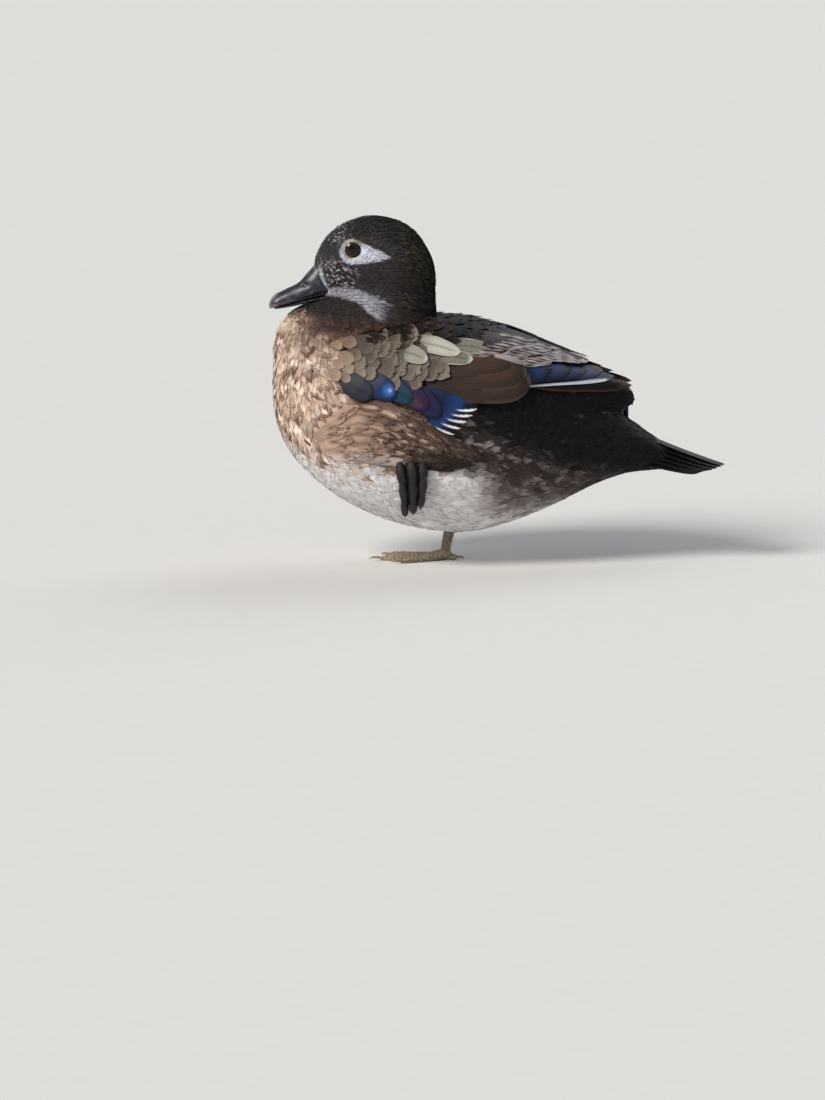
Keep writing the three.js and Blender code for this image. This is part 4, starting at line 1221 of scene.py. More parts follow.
def lay_wing(rng):
    """One folded wing, from the flight feathers up to the shoulder"""
    quills = Quills(cloak, across=18)
    quills.add((60, 118.5), (133, 110.8), 4.4, -1.4, wing_tip_vane, rng, blunt=0.3)
    tips = ((121, 117.4, 3.8), (113.5, 120.4, 4.2), (104, 122.2, 5.0), (94, 123.4, 6.2), (81, 124, 7.4))
    for k, (x, z, half) in enumerate(tips):
        quills.add((42, 118 + 1.1 * k), (x, z), half, -0.9 + 0.3 * k, primary(k), rng,
                   tilt=-0.2, blunt=0.3, bend=1.0 - 0.2 * k)
    for k, tip in enumerate(((21.5, 86.5), (25.5, 90.6), (29.2, 94.8), (32.6, 98.8), (35.6, 102.8))):
        quills.add((-2 + k, 112 + k), tip, 4.7, -0.8 + 0.18 * k, secondary, rng, tilt=-0.1, blunt=0.45, bend=-1.5)
    for k, (root, tip, half, kind) in enumerate((
        ((-12, 120), (13, 98.5), 7.2, "covert_indigo"), ((-20, 122), (6, 103), 7.4, "purple"),
        ((-28, 122), (-4, 107.5), 6.4, "covert_teal"), ((-38, 123), (-14, 110), 7.6, "covert_blue"),
        ((-50, 122), (-29, 109.5), 7.2, "covert_slate"),
    )):
        quills.add(root, tip, half, 0.35 + 0.2 * k, greater_covert(kind), rng, tilt=0.1, blunt=0.5)
    for root, tip, half, lift in (
        ((4, 118.5), (68.5, 117), 12.6, 0.6), ((4, 124), (66, 123), 10.6, 0.9),
        ((6, 128.5), (58, 129), 7.5, 1.2),
    ):
        quills.add(root, tip, half, lift, tertial, rng, blunt=0.34, bend=1.0, tilt=0.1)
    quills.add((24, 138.5), (66, 126.5), 1.9, 1.45, edge_stroke, rng, blunt=0.6, bend=1.5)
    quills.add((20, 134), (50, 134), 1.6, 1.4, edge_stroke, rng, blunt=0.6, bend=1.2)

    def back_route(down):
        def route(x):
            share = np.interp(x, [30, 57, 86, 108], [1.1, 1.0, 0.7, 0.3])
            return np.interp(x, BACK_LINE[:, 0], BACK_LINE[:, 1]) - down * share
        return route

    for row in range(3):
        for k in reversed(range(9)):
            end = 106 - 3.6 * k - 15 * row + rng.uniform(-2.5, 2.5)
            quills.add((end - 42, 0), (end, 0), 3.0, 0.6 + 0.25 * row + 0.12 * (8 - k), barred_scapular, rng,
                       route=back_route(1.4 + 1.55 * k), tilt=-0.3, blunt=0.3, rag=0.1)
    # the shoulder's coverts in a loose staggered lattice, laid from the rear so that the front ones lie on top
    patch = [(-58, 141), (-40, 148), (-10, 149), (2, 144), (6, 136), (2, 125), (-6, 120.5), (-22, 122),
             (-38, 123.5), (-58, 121)]
    front, height, row_gap, gap, level, slope = -64, 134, 5.4, 6.6, 0.93, 0.37
    for i in reversed(range(-1, 15)):
        for j in range(-9, 10):
            across = gap * (j + 0.5 * (i % 2))
            x = front + level * row_gap * i + slope * across + rng.uniform(-2.4, 2.4)
            z = height - slope * row_gap * i + level * across + rng.uniform(-1.8, 1.8)
            if inside(x, z, patch):
                grown = rng.uniform(0.8, 1.2) * (1 - 0.35 * smooth(-x, 36, 54))
                fall = 4.6 + rng.uniform(-2, 2) + 3.5 * smooth(-x, 40, 60)
                lift = 1.2 + 0.15 * rng.random() - 0.9 * smooth(-x, 38, 56)
                quills.add((x, z), (x + 13 * grown, z - fall * grown), 5.0 * grown, lift, scale_covert(x), rng,
                           blunt=0.6, sunk=0.7, full=1.0, rag=0.15)
    for root, tip, half, lift, strength in (
        ((2, 136), (33, 131), 4.6, 1.5, 0.15), ((8, 141.5), (46, 136), 4.0, 1.5, 0.25),
        ((-16, 138), (5, 131), 4.8, 2.0, 0.5), ((-8, 143.5), (25, 134.5), 4.6, 2.2, 0.9),
    ):
        quills.add(root, tip, half, lift, pale_scapular(strength), rng, blunt=0.6, tilt=0.1)
    # the mantle and the ridge of the back
    for i in reversed(range(12)):
        for j in range(7):
            x = -42 + 7.2 * i + rng.uniform(-2, 2)
            angle = math.radians(52 + 7.2 * (j + 0.5 * (i % 2)) + rng.uniform(-2, 2))
            length, half, lift = rng.uniform(15, 21), rng.uniform(3.8, 5.2), rng.uniform(1.1, 1.6)
            quills.add_over(x, angle, length, half, lift, mantle_feather(x), rng, drift=4.0, blunt=0.65, rag=0.2)
    return quills


def make_wings():
    material = feather_finish("wing_feathers", rough=0.46, barb=0.9, depth=0.22, sheen=0.0, strand=0.3)
    for label, side, seed in (("left", -1, 41), ("right", 1, 42)):
        quills = lay_wing(np.random.default_rng(seed))
        quills.finish(f"wing_feathers_{label}", side, material, "gloss_feathers", (f"wing_{label}",))


def flank_surface(flat):
    """The side of the body, passing over the wing's lower edge"""
    x, z = flat[..., 0], flat[..., 1]
    inner, inner_lean = trunk.onto(np.stack([x, trunk.side_at(x, z), z], -1))
    outer, outer_lean = cloak.onto(np.stack([x, cloak.side_at(x, z), z], -1))
    share = smooth(z, wing_edge_z(x) - 9, wing_edge_z(x) + 1) * smooth(x, -74, -62)
    return blend(inner, outer, share), unit(blend(inner_lean, outer_lean, share))


def make_flank_feathers():
    """Long soft feathers that sweep back over the wing's lower front edge"""
    material = feather_finish("flank_feathers", rough=0.78, barb=0.8, depth=0.2, sheen=0.04, strand=0.25)

    def sweep(level):
        def route(x):
            low = np.interp(x, [-80, -50, -20, 10, 30, 50], [71, 71, 71, 68, 66, 63])
            return low + (np.interp(x, FLANK_LINE[:, 0], FLANK_LINE[:, 1]) - 3.5 - low) * level
        return route

    for label, side, seed in (("left", -1, 53), ("right", 1, 54)):
        rng = np.random.default_rng(seed)
        quills = Quills(trunk, stations=15, columns=11, across=12)
        for level in np.linspace(0, 1, 11):
            for k in reversed(range(10)):
                x = -66 + 7.0 * (k + 0.5 * (round(level * 10) % 2)) + rng.uniform(-4, 4)
                reach = rng.uniform(24, 40) - 6 * level
                front = 1 - smooth(x, -66, -40)
                reach = (reach + 9 * smooth(level, 0.3, 0.8)) * (1 - 0.35 * front)
                half = rng.uniform(2.6, 4.4) * (1 - 0.25 * front)
                lift = (0.35 + 1.6 * level) * (1 - 0.6 * front) - 0.5 * front
                route = sweep(level + rng.uniform(-0.08, 0.02))
                quills.add((x, 0), (x + reach, 0), half, lift, flank_plume(x, level), rng, route=route,
                           surface=flank_surface, rag=0.2, blunt=0.5, full=1.0, sunk=2.2)
        quills.finish(f"flank_feathers_{label}", side, material, "plumage")


def make_tail():
    """Twelve long feathers in a closed wedge"""
    rng = np.random.default_rng(61)
    stations, columns, per_side = 20, 11, 6
    root_x, longest, half = 121.5, 72.5, 6.6
    points, barbs, colours = [], [], []
    s = np.linspace(0, 1, stations)[:, None]
    c = np.linspace(-1, 1, columns)[None, :]
    for side in (-1, 1):
        for k in range(per_side):
            turn = math.radians(1.0 + 2.0 * k)
            reach = longest - 2.0 * k ** 1.2
            root = np.array([root_x, side * (1.2 + 1.3 * k), 87 - 3.2 * k])
            tip_x = root_x + reach * math.cos(turn) * 0.93
            tip = np.array([tip_x, root[1] + side * reach * math.sin(turn), 59.6 + 0.1 * k])
            along = unit(tip - root)
            lean = unit(np.array([0.36, side * (0.05 + 0.1 * k), 1.0]))
            across = unit(np.cross(lean, along))
            end = np.clip((s - 0.8) / 0.2, 0, 1)
            breadth = (0.5 + 0.5 * smooth(s, 0, 0.4)) * np.sqrt(np.clip(1 - 0.96 * end ** 2.4, 0.02, 1))
            run = np.linalg.norm(tip - root) * s * (1 - 0.02 * rng.random(c.shape) * smooth(s, 0.8, 1))
            off = half * breadth * c
            sag = -1.2 * np.sin(np.pi * s) - 0.5 * c ** 2 + 0.25 * np.exp(-((c / 0.1) ** 2)) - 0.45 * k
            sag = sag + (0.25 if side < 0 else 0)
            points.append(root + along * run[..., None] + across * off[..., None] + lean * sag[..., None])
            barbs.append(np.stack(np.broadcast_arrays(off, run + 31.0 * k), -1))
            base = shaded(tone("tail") * rng.uniform(0.85, 1.15), s, c, "tail_edge", 0.5, "vane_dark_and_shade")
            colours.append(toned(base, ("back_gloss", 0.3 * spot_on(s, c, 0.6, 0.35, 0.7))))
    material = feather_finish("tail_feathers", rough=0.48, barb=0.9, depth=0.25, sheen=0.0, strand=0.3)
    bake = vane_cells(len(points), stations, columns, 0, 4)
    arrays = np.array(points), np.array(barbs), bake, np.array(colours)
    coat_piece("tail_feathers", *arrays, material, "gloss_feathers", ("tail",))


def make_bill():
    material = bill_finish()
    points, faces = Form(BILL_ROWS, roundness=2.0).mesh(110, 88)
    x, y, z = points.T
    # a nail at the tip, a hollow round each nostril, and a fine edge along the mouth
    nail = smooth(-x, 86.5, 89.5) * np.exp(-((y / 2.6) ** 2))
    z = z + 0.7 * nail * (z > 160)
    nostril_x, nostril_z = -71, 172.4
    back, up = x - nostril_x, z - nostril_z
    groove = np.exp(-((back / 3.6) ** 2) - ((up / 1.9) ** 2)) * (np.abs(y) > 1.5)
    slot = np.exp(-(((back + 0.55 * up) / 1.7) ** 2) - ((up / 0.75) ** 2)) * (np.abs(y) > 1.5)
    y = y - np.sign(y) * (0.45 * groove + 1.3 * slot)
    lip = np.interp(x, [-93, -82, -70, -60, -52], [158.6, 161.6, 164.2, 166.8, 168.6])
    y = y - np.sign(y) * 0.4 * np.exp(-(((z - lip - 0.9) / 0.5) ** 2)) * smooth(-x, 56, 62)
    upper = np.stack([x, y, z], 1)
    edges = (
        ("bill_pale", np.exp(-(((z - lip) / 1.1) ** 2)) * 0.45),
        ("bill_line", np.exp(-(((z - lip + 0.4) / 0.5) ** 2)) * 0.6),
        ("nail", smooth(-x, 86.5, 89) * np.exp(-((y / 3.4) ** 2)) * 0.8),
        ("bill_line", smooth(x, -68, -64) * smooth(z, 180, 185) * 0.8),
        # painted shade inside the nostril's slot
        ("vane_dark_and_shade", np.clip(slot * 1.2, 0, 1) * 0.9),
    )
    lower, lower_faces = Form(CHIN_ROWS, roundness=2.0).mesh(60, 40)
    for label, grid, quads, ridge_from, marks in (
        ("upper", upper, faces, lip + 3, edges), ("lower", lower, lower_faces, lower[:, 2] + 12, ()),
    ):
        worn = speckle(grid, 2.4, 0.7)
        # the ridge made paler along its top is a painted highlight; the speckled paler patches are wear
        ridge = np.exp(-((grid[:, 1] / 2.3) ** 2)) * (grid[:, 2] > ridge_from) * (0.5 + 0.5 * worn)
        wear = np.clip(0.6 * ridge + 0.5 * smooth(worn, 0.2, 0.9), 0, 1)
        mesh = plain_mesh(f"bill_{label}_horn", grid, quads)
        paint(mesh, washed(np.broadcast_to(tone("bill"), grid.shape).copy(), ("bill_pale", wear), *marks))
        mesh.materials.append(material)
        place(mesh, f"bill_{label}_horn", (f"bill_{label}",), "bill")


def ball(centre, radius, rings, sides):
    """A round ball whose poles lie along y"""
    theta = (np.pi * np.arange(1, rings) / rings)[:, None]
    phi = (2 * np.pi * np.arange(sides) / sides)[None]
    parts = (np.sin(theta) * np.cos(phi), np.cos(theta), np.sin(theta) * np.sin(phi))
    grid = np.stack(np.broadcast_arrays(*parts), -1).reshape(-1, 3)
    return np.vstack([grid, [[0, 1, 0], [0, -1, 0]]]) * radius + centre, capped_faces(sides, rings - 1)


def tube(centres, leans, radii, sides=14):
    """A closed tube through a row of points"""
    along = unit(np.gradient(centres, axis=0))
    leans = laid(leans, along)
    across = np.cross(along, leans)
    a = (2 * np.pi * np.arange(sides) / sides)[None, :, None]
    ring = leans[:, None] * np.cos(a) + across[:, None] * np.sin(a)
    grid = (centres[:, None] + radii[:, None, None] * ring).reshape(-1, 3)
    ends = np.vstack([centres[0] - along[0] * radii[0] * 0.7, centres[-1] + along[-1] * radii[-1] * 0.7])
    return np.vstack([grid, ends]), capped_faces(sides, len(centres))


def joined(parts):
    """Vertices and faces of several forms as one"""
    points, faces, start = [], [], 0
    for part_points, part_faces in parts:
        points.append(part_points)
        faces += [tuple(int(i) + start for i in face) for face in part_faces]
        start += len(part_points)
    return np.vstack(points), faces


def make_folded_foot(skin, horn):
    """Three toes with webs, drawn up flat against the left flank, their heel under the feathers"""
    u = np.linspace(0, 1, 40)
    rows, toes, claws = [], [], []
    for (x0, z0), (x1, z1), thick in (
        ((-13.0, 72), (-9.0, 36), 3.2), ((-5.6, 73), (-4.0, 38), 3.5), ((1.8, 72), (0.6, 42), 3.1),
    ):
        x = x0 + (x1 - x0) * u + 0.8 * np.sin(np.pi * u)
        z = z0 + (z1 - z0) * u
        spot, lean = trunk.onto(np.stack([x, trunk.side_at(x, z), z], -1))
        lift = -5.4 + 7.2 * smooth(u, 0.02, 0.22) - 0.5 * smooth(u, 0.8, 1)
        radius = thick * (1 - 0.34 * u) * (1 + 0.13 * np.cos(2 * np.pi * (3.2 * u + 0.1)))
        centres = (spot + lean * lift[:, None]) * [1, -1, 1]
        leans = lean * [1, -1, 1]
        rows.append((centres, leans))
        toes.append(tube(centres, leans, radius))
        v = np.linspace(0, 1, 12)[:, None]
        down = unit(centres[-1] - centres[-3])
        claw = centres[-1] - down * 0.8 + down * 6.2 * v - leans[-1] * (1.5 * v ** 2 - 0.3)
        claws.append(tube(claw, np.repeat(leans[-1:], 12, 0), 1.25 * (1 - v[:, 0]) ** 0.7 + 0.1, 10))
    for (near, near_lean), (far, _) in zip(rows, rows[1:]):
        share = np.linspace(0, 1, 9)[None, :, None]
        end = 1 - 0.12 * np.sin(np.pi * share)
        line = np.clip(u[:, None, None] * end, 0, 1) * (len(u) - 1)
        i = np.minimum(line.astype(int), len(u) - 2)[..., 0]
        f = line - i[..., None]
        a, b = near[i] * (1 - f) + near[i + 1] * f, far[i] * (1 - f) + far[i + 1] * f
        web = a * (1 - share) + b * share - near_lean[i] * (0.5 + 0.9 * np.sin(np.pi * share))
        toes.append((web.reshape(-1, 3), [tuple(q) for q in grid_faces(1, len(u), 9)]))
    for name, parts, material, replaces in (
        ("folded_foot", toes, skin, ("foot_left",)), ("folded_claws", claws, horn, ()),
    ):
        points, faces = joined(parts)
        mesh = plain_mesh(name, points, faces)
        mesh.materials.append(material)
        place(mesh, name, replaces, "skin")


def make_eyes():
    wet, ring = eye_finish(), lid_finish()
    opening = panel_size("eye_opening")
    for label, side in (("left", -1), ("right", 1)):
        centre_y = side * (eye_side + EYE_BULGE - EYEBALL_RADIUS)
        points, faces = ball(np.array([EYE_X, centre_y, EYE_Z]), EYEBALL_RADIUS - 0.1, 48, 64)
        mesh = plain_mesh(f"eyeball_{label}", points, faces)
        mesh.materials.append(wet)
        place(mesh, f"eyeball_{label}", (f"eye_{label}",), "eye")
        # the lid: a soft ring that rests on the ball, lower at its front and rear corners
        turns, thread = 72, 14
        a = 2 * np.pi * np.arange(turns)[:, None] / turns
        b = 2 * np.pi * np.arange(thread)[None] / thread
        reach = opening * (1 + 0.05 * np.cos(2 * a)) + 0.62
        thick = 0.62 + 0.12 * np.cos(a * 2) + 0.05 * np.sin(11 * a)
        out = reach + thick * np.cos(b)
        x = EYE_X + out * np.cos(a)
        z = EYE_Z + out * np.sin(a) * 0.97
        seat = np.sqrt(np.maximum(EYEBALL_RADIUS ** 2 - reach ** 2, 1.0))
        corner = np.abs(np.cos(a)) ** 3
        y = centre_y + side * (seat + 0.05 + 0.5 * thick + 0.55 * thick * np.sin(b) - 0.25 * corner)
        y = np.broadcast_to(y, out.shape)
        grid = np.stack([x, y, z], -1).reshape(-1, 3)
        faces = [
            (i * thread + k, i * thread + (k + 1) % thread, far * thread + (k + 1) % thread, far * thread + k)
            for i, far in zip(range(turns), [*range(1, turns), 0]) for k in range(thread)
        ]
        mesh = plain_mesh(f"eyelid_{label}", grid, faces)
        mesh.materials.append(ring)
        place(mesh, f"eyelid_{label}", (), "skin")


def node_form(name):
    """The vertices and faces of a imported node, in millimetres"""
    mesh = frame["nodes"][name].data
    points, _ = coordinates(mesh)
    return points, [tuple(p.vertices) for p in mesh.polygons]


def make_feet():
    standing = leg_finish("leg_skin", colour_of("leg_joint"), colour_of("leg_scale"), 520)
    # the folded foot: its own dark webs, darkened further as painted shade where it lies tucked against the flank
    folded = leg_finish("folded_skin_and_shade", colour_of("toe_dark_and_shade"), colour_of("toe_grey_and_shade"), 620)
    foot_top, plug_radius = 5.2, 5.2
    plug = ball(np.array([LEG_X + 1.5, LEG_Y + 1, 21.0]), plug_radius, 12, 16)
    mesh = fused("standing_leg", [node_form("leg_right"), node_form("foot_right"), plug], 0.5, 0.5, 4)
    points, normals = coordinates(mesh)
    ripple = 0.16 * np.sin(points[:, 0] * 2.6) * (points[:, 2] < foot_top) * (normals[:, 2] > 0.2)
    ripple = ripple + 0.14 * np.sin(points[:, 2] * 2.3) * (points[:, 2] >= foot_top)
    points = points + normals * ripple[:, None]
    points[:, 2] = np.maximum(points[:, 2], 0.0)
    set_coordinates(mesh, points)
    mesh.materials.append(standing)
    place(mesh, "standing_leg", ("leg_right", "foot_right"), "skin")
    make_folded_foot(folded, claw_finish())


def make_stage():
    settings = bpy.context.scene.hen_stage
    far = 12000
    mesh = plain_mesh("floor", [(-far, -far, 0), (far, -far, 0), (far, far, 0), (-far, far, 0)], [(0, 1, 2, 3)])
    mesh.materials.append(floor_finish())
    floor = bpy.data.objects.new("floor", mesh)
    bpy.context.scene.collection.objects.link(floor)
    world = bpy.data.worlds.new("studio")
    world.use_nodes = True
    back = world.node_tree.nodes["Background"]
    back.inputs[0].default_value = (0.9, 0.94, 1.0, 1)
    back.inputs[1].default_value = settings.ambient
    bpy.context.scene.world = world
    for name, towards, strength, angle, colour in (
        ("key_light", (-0.72, -0.62, 0.72), settings.key_strength, 24, (1.0, 0.96, 0.9)),
        ("rim_light", (0.5, 0.75, 0.6), settings.key_strength * 0.25, 40, (0.93, 0.96, 1.0)),
    ):
        light = bpy.data.lights.new(name, "SUN")
        light.energy = strength
        light.angle = math.radians(angle)
        light.color = colour
        obj = bpy.data.objects.new(name, light)
        obj.location = Vector(towards) * 2
        obj.rotation_euler = (-Vector(towards)).to_track_quat("-Z", "Y").to_euler()
        bpy.context.scene.collection.objects.link(obj)
    # A long lens from the left. The photo's height, middle and the sole's place in it are in pixels.
    photo_high, middle, sole = 1100, (412.5, 550), (420, 560)
    pixel, distance, climb = PHOTO_PIXEL * MM, 8.0, settings.climb
    target = Vector(((middle[0] - sole[0]) * pixel, 0, (sole[1] - middle[1]) * pixel / math.cos(climb)))
    camera = bpy.data.cameras.new("camera")
    camera.sensor_fit = "VERTICAL"
    camera.sensor_height = 36
    camera.lens = 36 * distance / (photo_high * pixel)
    camera.clip_end = 60
    obj = bpy.data.objects.new("camera", camera)
    obj.location = target + Vector((0, -math.cos(climb), math.sin(climb))) * distance
    obj.rotation_euler = (target - obj.location).to_track_quat("-Z", "Y").to_euler()
    bpy.context.scene.collection.objects.link(obj)
    bpy.context.scene.camera = obj
    bpy.context.scene.view_settings.view_transform = "Standard"


# Settings

def length_property(label, text, default):
    return bpy.props.FloatProperty(
        name=label, description=text, default=default * MM, min=0.0, subtype="DISTANCE", unit="LENGTH",
    )


def colour_property(label, text, rgb):
    return bpy.props.FloatVectorProperty(
        name=label, description=text, subtype="COLOR", size=3, min=0.0, max=1.0,
        default=tuple(float(v) for v in linear(rgb)),
    )


class HenSizes(bpy.types.PropertyGroup):
    """Sizes of the hen's coat and eyes"""

    body_coat: length_property("Body coat", "Depth of the plumage over the body's skin", 1.7)
    head_coat: length_property("Head coat", "Depth of the plumage over the head's skin", 0.9)
    body_spacing: length_property("Body spacing", "Distance between the roots of body feathers", 2.9)
    body_length: length_property("Body feather length", "Length of the breast's feathers", 11)
    body_width: length_property("Body feather width", "Width of the breast's feathers", 6.2)
    head_spacing: length_property("Head spacing", "Distance between the roots of head feathers", 1.0)
    head_length: length_property("Head feather length", "Length of the face's longest feathers", 5.2)
    eye_opening: length_property("Eye opening", "Radius of the eye's opening between its lids", 4.9)


class HenColours(bpy.types.PropertyGroup):
    """Colours of the hen's plumage and bare parts"""

    breast: colour_property("Breast", "Ground colour of the breast", (180, 150, 132))
    breast_spot: colour_property("Breast spot", "Pale spots of the breast", (236, 220, 206))
    breast_fleck: colour_property("Breast fleck", "Dark crescents of the breast", (84, 60, 50))
    flank: colour_property("Flank", "Ground colour of the flank", (96, 74, 64))
    flank_spot: colour_property("Flank spot", "Pale spots of the flank", (190, 164, 148))
    flank_dark: colour_property("Flank shade", "Darker rear of the flank", (36, 27, 24))
    belly: colour_property("Belly", "Belly and vent", (232, 229, 230))
    belly_shade: colour_property("Belly shade", "Soft shade between the belly's feathers", (196, 190, 192))
    vent_dark: colour_property("Vent dark", "Dark mottling of the rear flank", (50, 41, 39))
    vent_pale: colour_property("Vent pale", "Pale mottling of the rear flank", (150, 138, 139))
    rump: colour_property("Rump", "Rump and upper tail coverts", (13, 11, 11))
    mantle: colour_property("Mantle", "Back between the wings", (30, 23, 20))
    mantle_edge: colour_property("Mantle edge", "Rufous streaks of the mantle", (96, 68, 54))
    back_gloss: colour_property("Back gloss", "Bluish gloss of the back and tail", (14, 18, 26))
    neck: colour_property("Neck", "Ground colour of the neck", (80, 55, 46))
    neck_spot: colour_property("Neck spot", "Pale flecks of the neck", (150, 116, 94))
    # painted shade of the fold under the head, where the neck is drawn in
    neck_fold_shade: colour_property("Neck fold", "Dark fold where the neck is drawn in", (32, 21, 18))
    cheek: colour_property("Cheek", "Grey of the cheeks", (46, 40, 44))
    crown: colour_property("Crown", "Dark of the crown", (18, 15, 15))
    crown_gloss: colour_property("Crown gloss", "Greenish gloss of the crown", (34, 42, 38))
    crest: colour_property("Crest", "Green-brown of the crest", (26, 22, 15))
    crest_gloss: colour_property("Crest gloss", "Bronze gloss of the crest", (78, 66, 36))
    # pale flecks before the eye, also used for painted highlights on the forehead
    face_fleck_and_highlight: colour_property("Face fleck", "Pale flecks before the eye", (168, 160, 166))
    throat: colour_property("Throat", "White of the chin and throat", (166, 164, 176))
    eye_patch: colour_property("Eye patch", "White drop round the eye", (196, 198, 212))
    covert: colour_property("Covert", "Olive-grey of the shoulder", (96, 90, 78))
    covert_brown: colour_property("Covert brown", "Brown of the foremost coverts", (92, 76, 70))
    # dark centres of the coverts, also laid on as painted shade at their roots
    covert_dark_and_shade: colour_property("Covert shaft", "Dark centres of the coverts", (54, 45, 39))
    covert_edge: colour_property("Covert edge", "Pale edges of the coverts", (140, 129, 113))
    covert_blue: colour_property("Blue coverts", "Blue of the front greater coverts", (18, 38, 80))
    covert_slate: colour_property("Slate coverts", "Foremost greater coverts", (38, 42, 56))
    covert_teal: colour_property("Teal coverts", "Green-blue greater coverts", (22, 58, 78))
    covert_indigo: colour_property("Indigo coverts", "Rearmost greater coverts", (30, 30, 66))
    blue_bright: colour_property("Bright blue", "Bright glints in the blue", (50, 98, 180))
    purple: colour_property("Purple", "Purple gloss of the rear greater coverts", (48, 26, 68))
    bronze: colour_property("Bronze", "Bronze gloss of the wing", (88, 64, 52))
    speculum: colour_property("Speculum", "Blue of the secondaries", (8, 28, 62))
    # the white tips of the secondaries, also used for a painted white glint on the blue coverts
    white_tip_and_glint: colour_property("White tips", "White tips of the secondaries", (236, 238, 242))
    # dark shafts and inner vanes, also laid on as painted shade at the roots of vanes and in the nostrils
    vane_dark_and_shade: colour_property("Vane shade", "Dark shafts and inner vanes", (12, 10, 12))
    tertial: colour_property("Tertials", "Brown of the tertials", (56, 42, 35))
    tertial_edge: colour_property("Tertial edge", "Edge of the tertials", (26, 18, 16))
    scapular_pale: colour_property("Pale scapulars", "Cream of the pale scapulars", (192, 190, 178))
    streak_dark: colour_property("Streak dark", "Dark of the long scapulars", (26, 20, 20))
    # pale feather edges, partly painted glints along them
    streak_pale_and_glint: colour_property("Streak pale", "Pale edges of the long scapulars", (172, 158, 156))
    primary: colour_property("Primaries", "Steel blue of the primaries", (18, 30, 58))
    primary_bright: colour_property("Primary gloss", "Gloss of the primaries", (34, 56, 100))
    wing_tip: colour_property("Wing tip", "Brown of the wing's tip", (82, 62, 48))
    silver_edge: colour_property("Silver edge", "White outer edge of the primaries", (208, 212, 222))
    tail: colour_property("Tail", "Blackish brown of the tail", (13, 11, 11))
    tail_edge: colour_property("Tail edge", "Edges of the tail feathers", (22, 19, 18))
    bill: colour_property("Bill", "Dark blue-grey of the bill", (30, 27, 40))
    # paler wear and a painted highlight along the bill's ridge, also the pale edge along the mouth
    bill_pale: colour_property("Bill wear", "Paler wear of the bill", (84, 78, 100))
    bill_line: colour_property("Bill edge", "Pinkish line along the mouth", (150, 118, 118))
    nail: colour_property("Nail", "Pale nail of the bill", (150, 144, 148))
    lid: colour_property("Lid", "Yellow of the eye's ring", (172, 152, 66))
    lid_shade: colour_property("Lid shade", "Shade of the eye's ring", (120, 104, 48))
    leg_scale: colour_property("Leg scales", "Pale plates of the standing leg", (182, 166, 142))
    leg_joint: colour_property("Leg joints", "Darker skin between the plates", (112, 98, 80))
    # the folded foot's skin: dark webs, darker still as painted shade of the tucked foot
    toe_dark_and_shade: colour_property("Folded toes", "Blackish skin of the folded foot", (12, 10, 11))
    toe_grey_and_shade: colour_property("Folded toe wear", "Greyer plates of the folded foot", (34, 31, 31))
    claw: colour_property("Claw", "Dark of the claws", (34, 30, 28))
    claw_pale: colour_property("Claw wear", "Paler tips of the claws", (84, 74, 64))


class HenStage(bpy.types.PropertyGroup):
    """Lights and camera"""

    key_strength: bpy.props.FloatProperty(
        name="Key light", description="Strength of the soft main light", default=3.1, min=0.0,
    )
    ambient: bpy.props.FloatProperty(
        name="Ambient", description="Strength of the even light round the hen", default=0.34, min=0.0,
    )
    climb: bpy.props.FloatProperty(
        name="Camera climb", description="The camera's angle above level", default=math.radians(8),
        subtype="ANGLE", unit="ROTATION",
    )


# Operators

def built(operator, build):
    """Runs a builder and fails loudly when it leaves nothing behind"""
    before = len(bpy.data.objects)
    build()
    if len(bpy.data.objects) <= before:
        raise RuntimeError(f"{operator.bl_label} made nothing")
    operator.report({"INFO"}, f"{operator.bl_label} built")
    return {"FINISHED"}


class HEN_OT_skin(bpy.types.Operator):
    """Build the one skin under the plumage"""

    bl_idname = "hen.skin"
    bl_label = "Skin"

    def execute(self, context):
        return built(self, make_skin)


class HEN_OT_body_feathers(bpy.types.Operator):
    """Cover neck, breast, belly and back with small feathers"""

    bl_idname = "hen.body_feathers"
    bl_label = "Body Feathers"

    def execute(self, context):
        return built(self, make_body_feathers)


class HEN_OT_head_feathers(bpy.types.Operator):
    """Cover the head with short tufts"""

    bl_idname = "hen.head_feathers"
    bl_label = "Head Feathers"

    def execute(self, context):
        return built(self, make_head_feathers)


class HEN_OT_crest(bpy.types.Operator):
    """Add the bushy crest"""

    bl_idname = "hen.crest"
    bl_label = "Crest"

    def execute(self, context):
        return built(self, make_crest)


class HEN_OT_wings(bpy.types.Operator):
    """Lay the folded wings feather by feather"""

    bl_idname = "hen.wings"
    bl_label = "Wings"

    def execute(self, context):
        return built(self, make_wings)


class HEN_OT_flank_feathers(bpy.types.Operator):
    """Lay the long flank feathers over the wings' edges"""

    bl_idname = "hen.flank_feathers"
    bl_label = "Flank Feathers"

    def execute(self, context):
        return built(self, make_flank_feathers)


class HEN_OT_tail(bpy.types.Operator):
    """Lay the tail's fan"""

    bl_idname = "hen.tail"
    bl_label = "Tail"

    def execute(self, context):
        return built(self, make_tail)


class HEN_OT_bill(bpy.types.Operator):
    """Build the two halves of the bill"""

    bl_idname = "hen.bill"
    bl_label = "Bill"

    def execute(self, context):
        return built(self, make_bill)


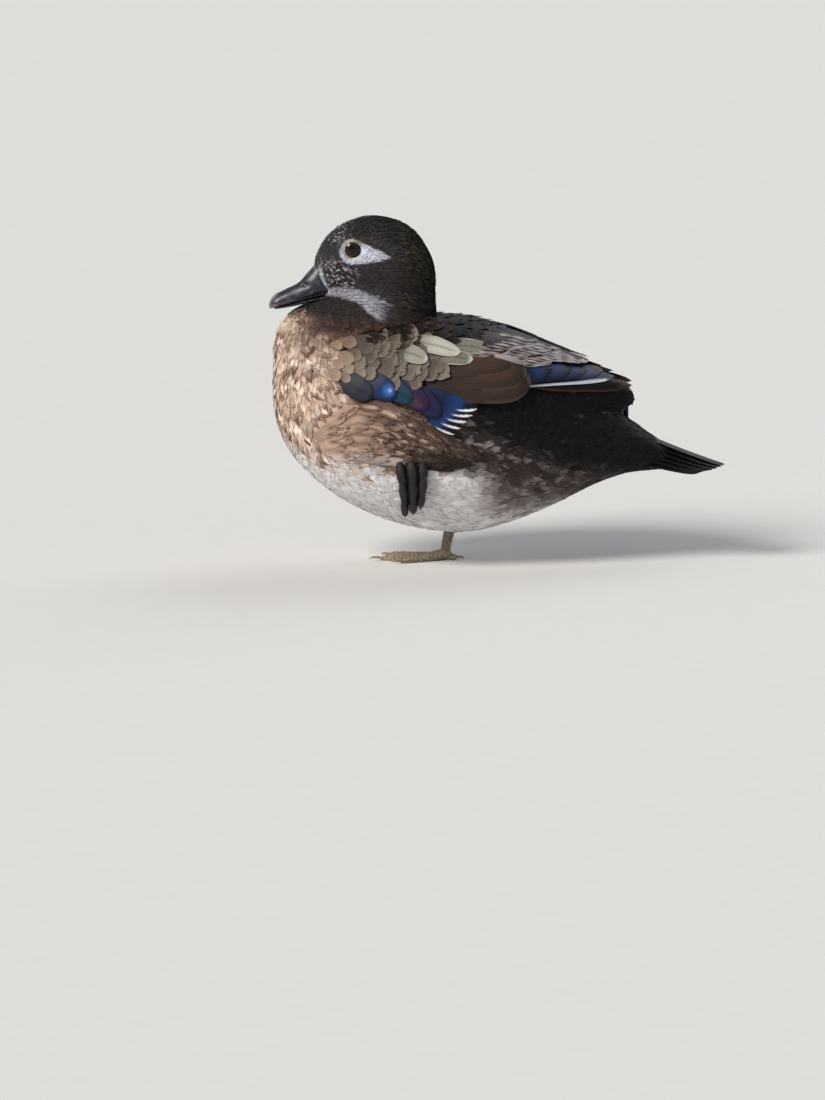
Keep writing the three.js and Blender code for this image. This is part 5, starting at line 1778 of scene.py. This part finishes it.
class HEN_OT_eyes(bpy.types.Operator):
    """Build the eyes and their lids"""

    bl_idname = "hen.eyes"
    bl_label = "Eyes"

    def execute(self, context):
        return built(self, make_eyes)


class HEN_OT_feet(bpy.types.Operator):
    """Build the standing leg and the folded foot"""

    bl_idname = "hen.feet"
    bl_label = "Feet"

    def execute(self, context):
        return built(self, make_feet)


class HEN_OT_stage(bpy.types.Operator):
    """Set the floor, lights and camera"""

    bl_idname = "hen.stage"
    bl_label = "Stage"

    def execute(self, context):
        return built(self, make_stage)


PIECES = (
    "skin", "body_feathers", "head_feathers", "crest", "wings", "flank_feathers", "tail", "bill", "eyes",
    "feet", "stage",
)


class HEN_PT_panel(bpy.types.Panel):
    """Sizes, colours and pieces of the hen"""

    bl_label = "Wood Duck"
    bl_idname = "HEN_PT_panel"
    bl_space_type = "VIEW_3D"
    bl_region_type = "UI"
    bl_category = "Wood Duck"

    def draw(self, context):
        for group in (context.scene.hen_sizes, context.scene.hen_stage, context.scene.hen_colours):
            box = self.layout.box()
            for name in group.__annotations__:
                box.prop(group, name)
        for name in PIECES:
            self.layout.operator("hen." + name)


CLASSES = (
    HenSizes, HenColours, HenStage, HEN_OT_skin, HEN_OT_body_feathers, HEN_OT_head_feathers, HEN_OT_crest,
    HEN_OT_wings, HEN_OT_flank_feathers, HEN_OT_tail, HEN_OT_bill, HEN_OT_eyes, HEN_OT_feet, HEN_OT_stage,
    HEN_PT_panel,
)


def register():
    for cls in CLASSES:
        bpy.utils.register_class(cls)
    bpy.types.Scene.hen_sizes = bpy.props.PointerProperty(type=HenSizes)
    bpy.types.Scene.hen_colours = bpy.props.PointerProperty(type=HenColours)
    bpy.types.Scene.hen_stage = bpy.props.PointerProperty(type=HenStage)


def unregister():
    del bpy.types.Scene.hen_stage
    del bpy.types.Scene.hen_colours
    del bpy.types.Scene.hen_sizes
    for cls in reversed(CLASSES):
        bpy.utils.unregister_class(cls)


def main():
    register()
    for name in PIECES:
        getattr(bpy.ops.hen, name)()


if __name__ == "__main__":
    main()
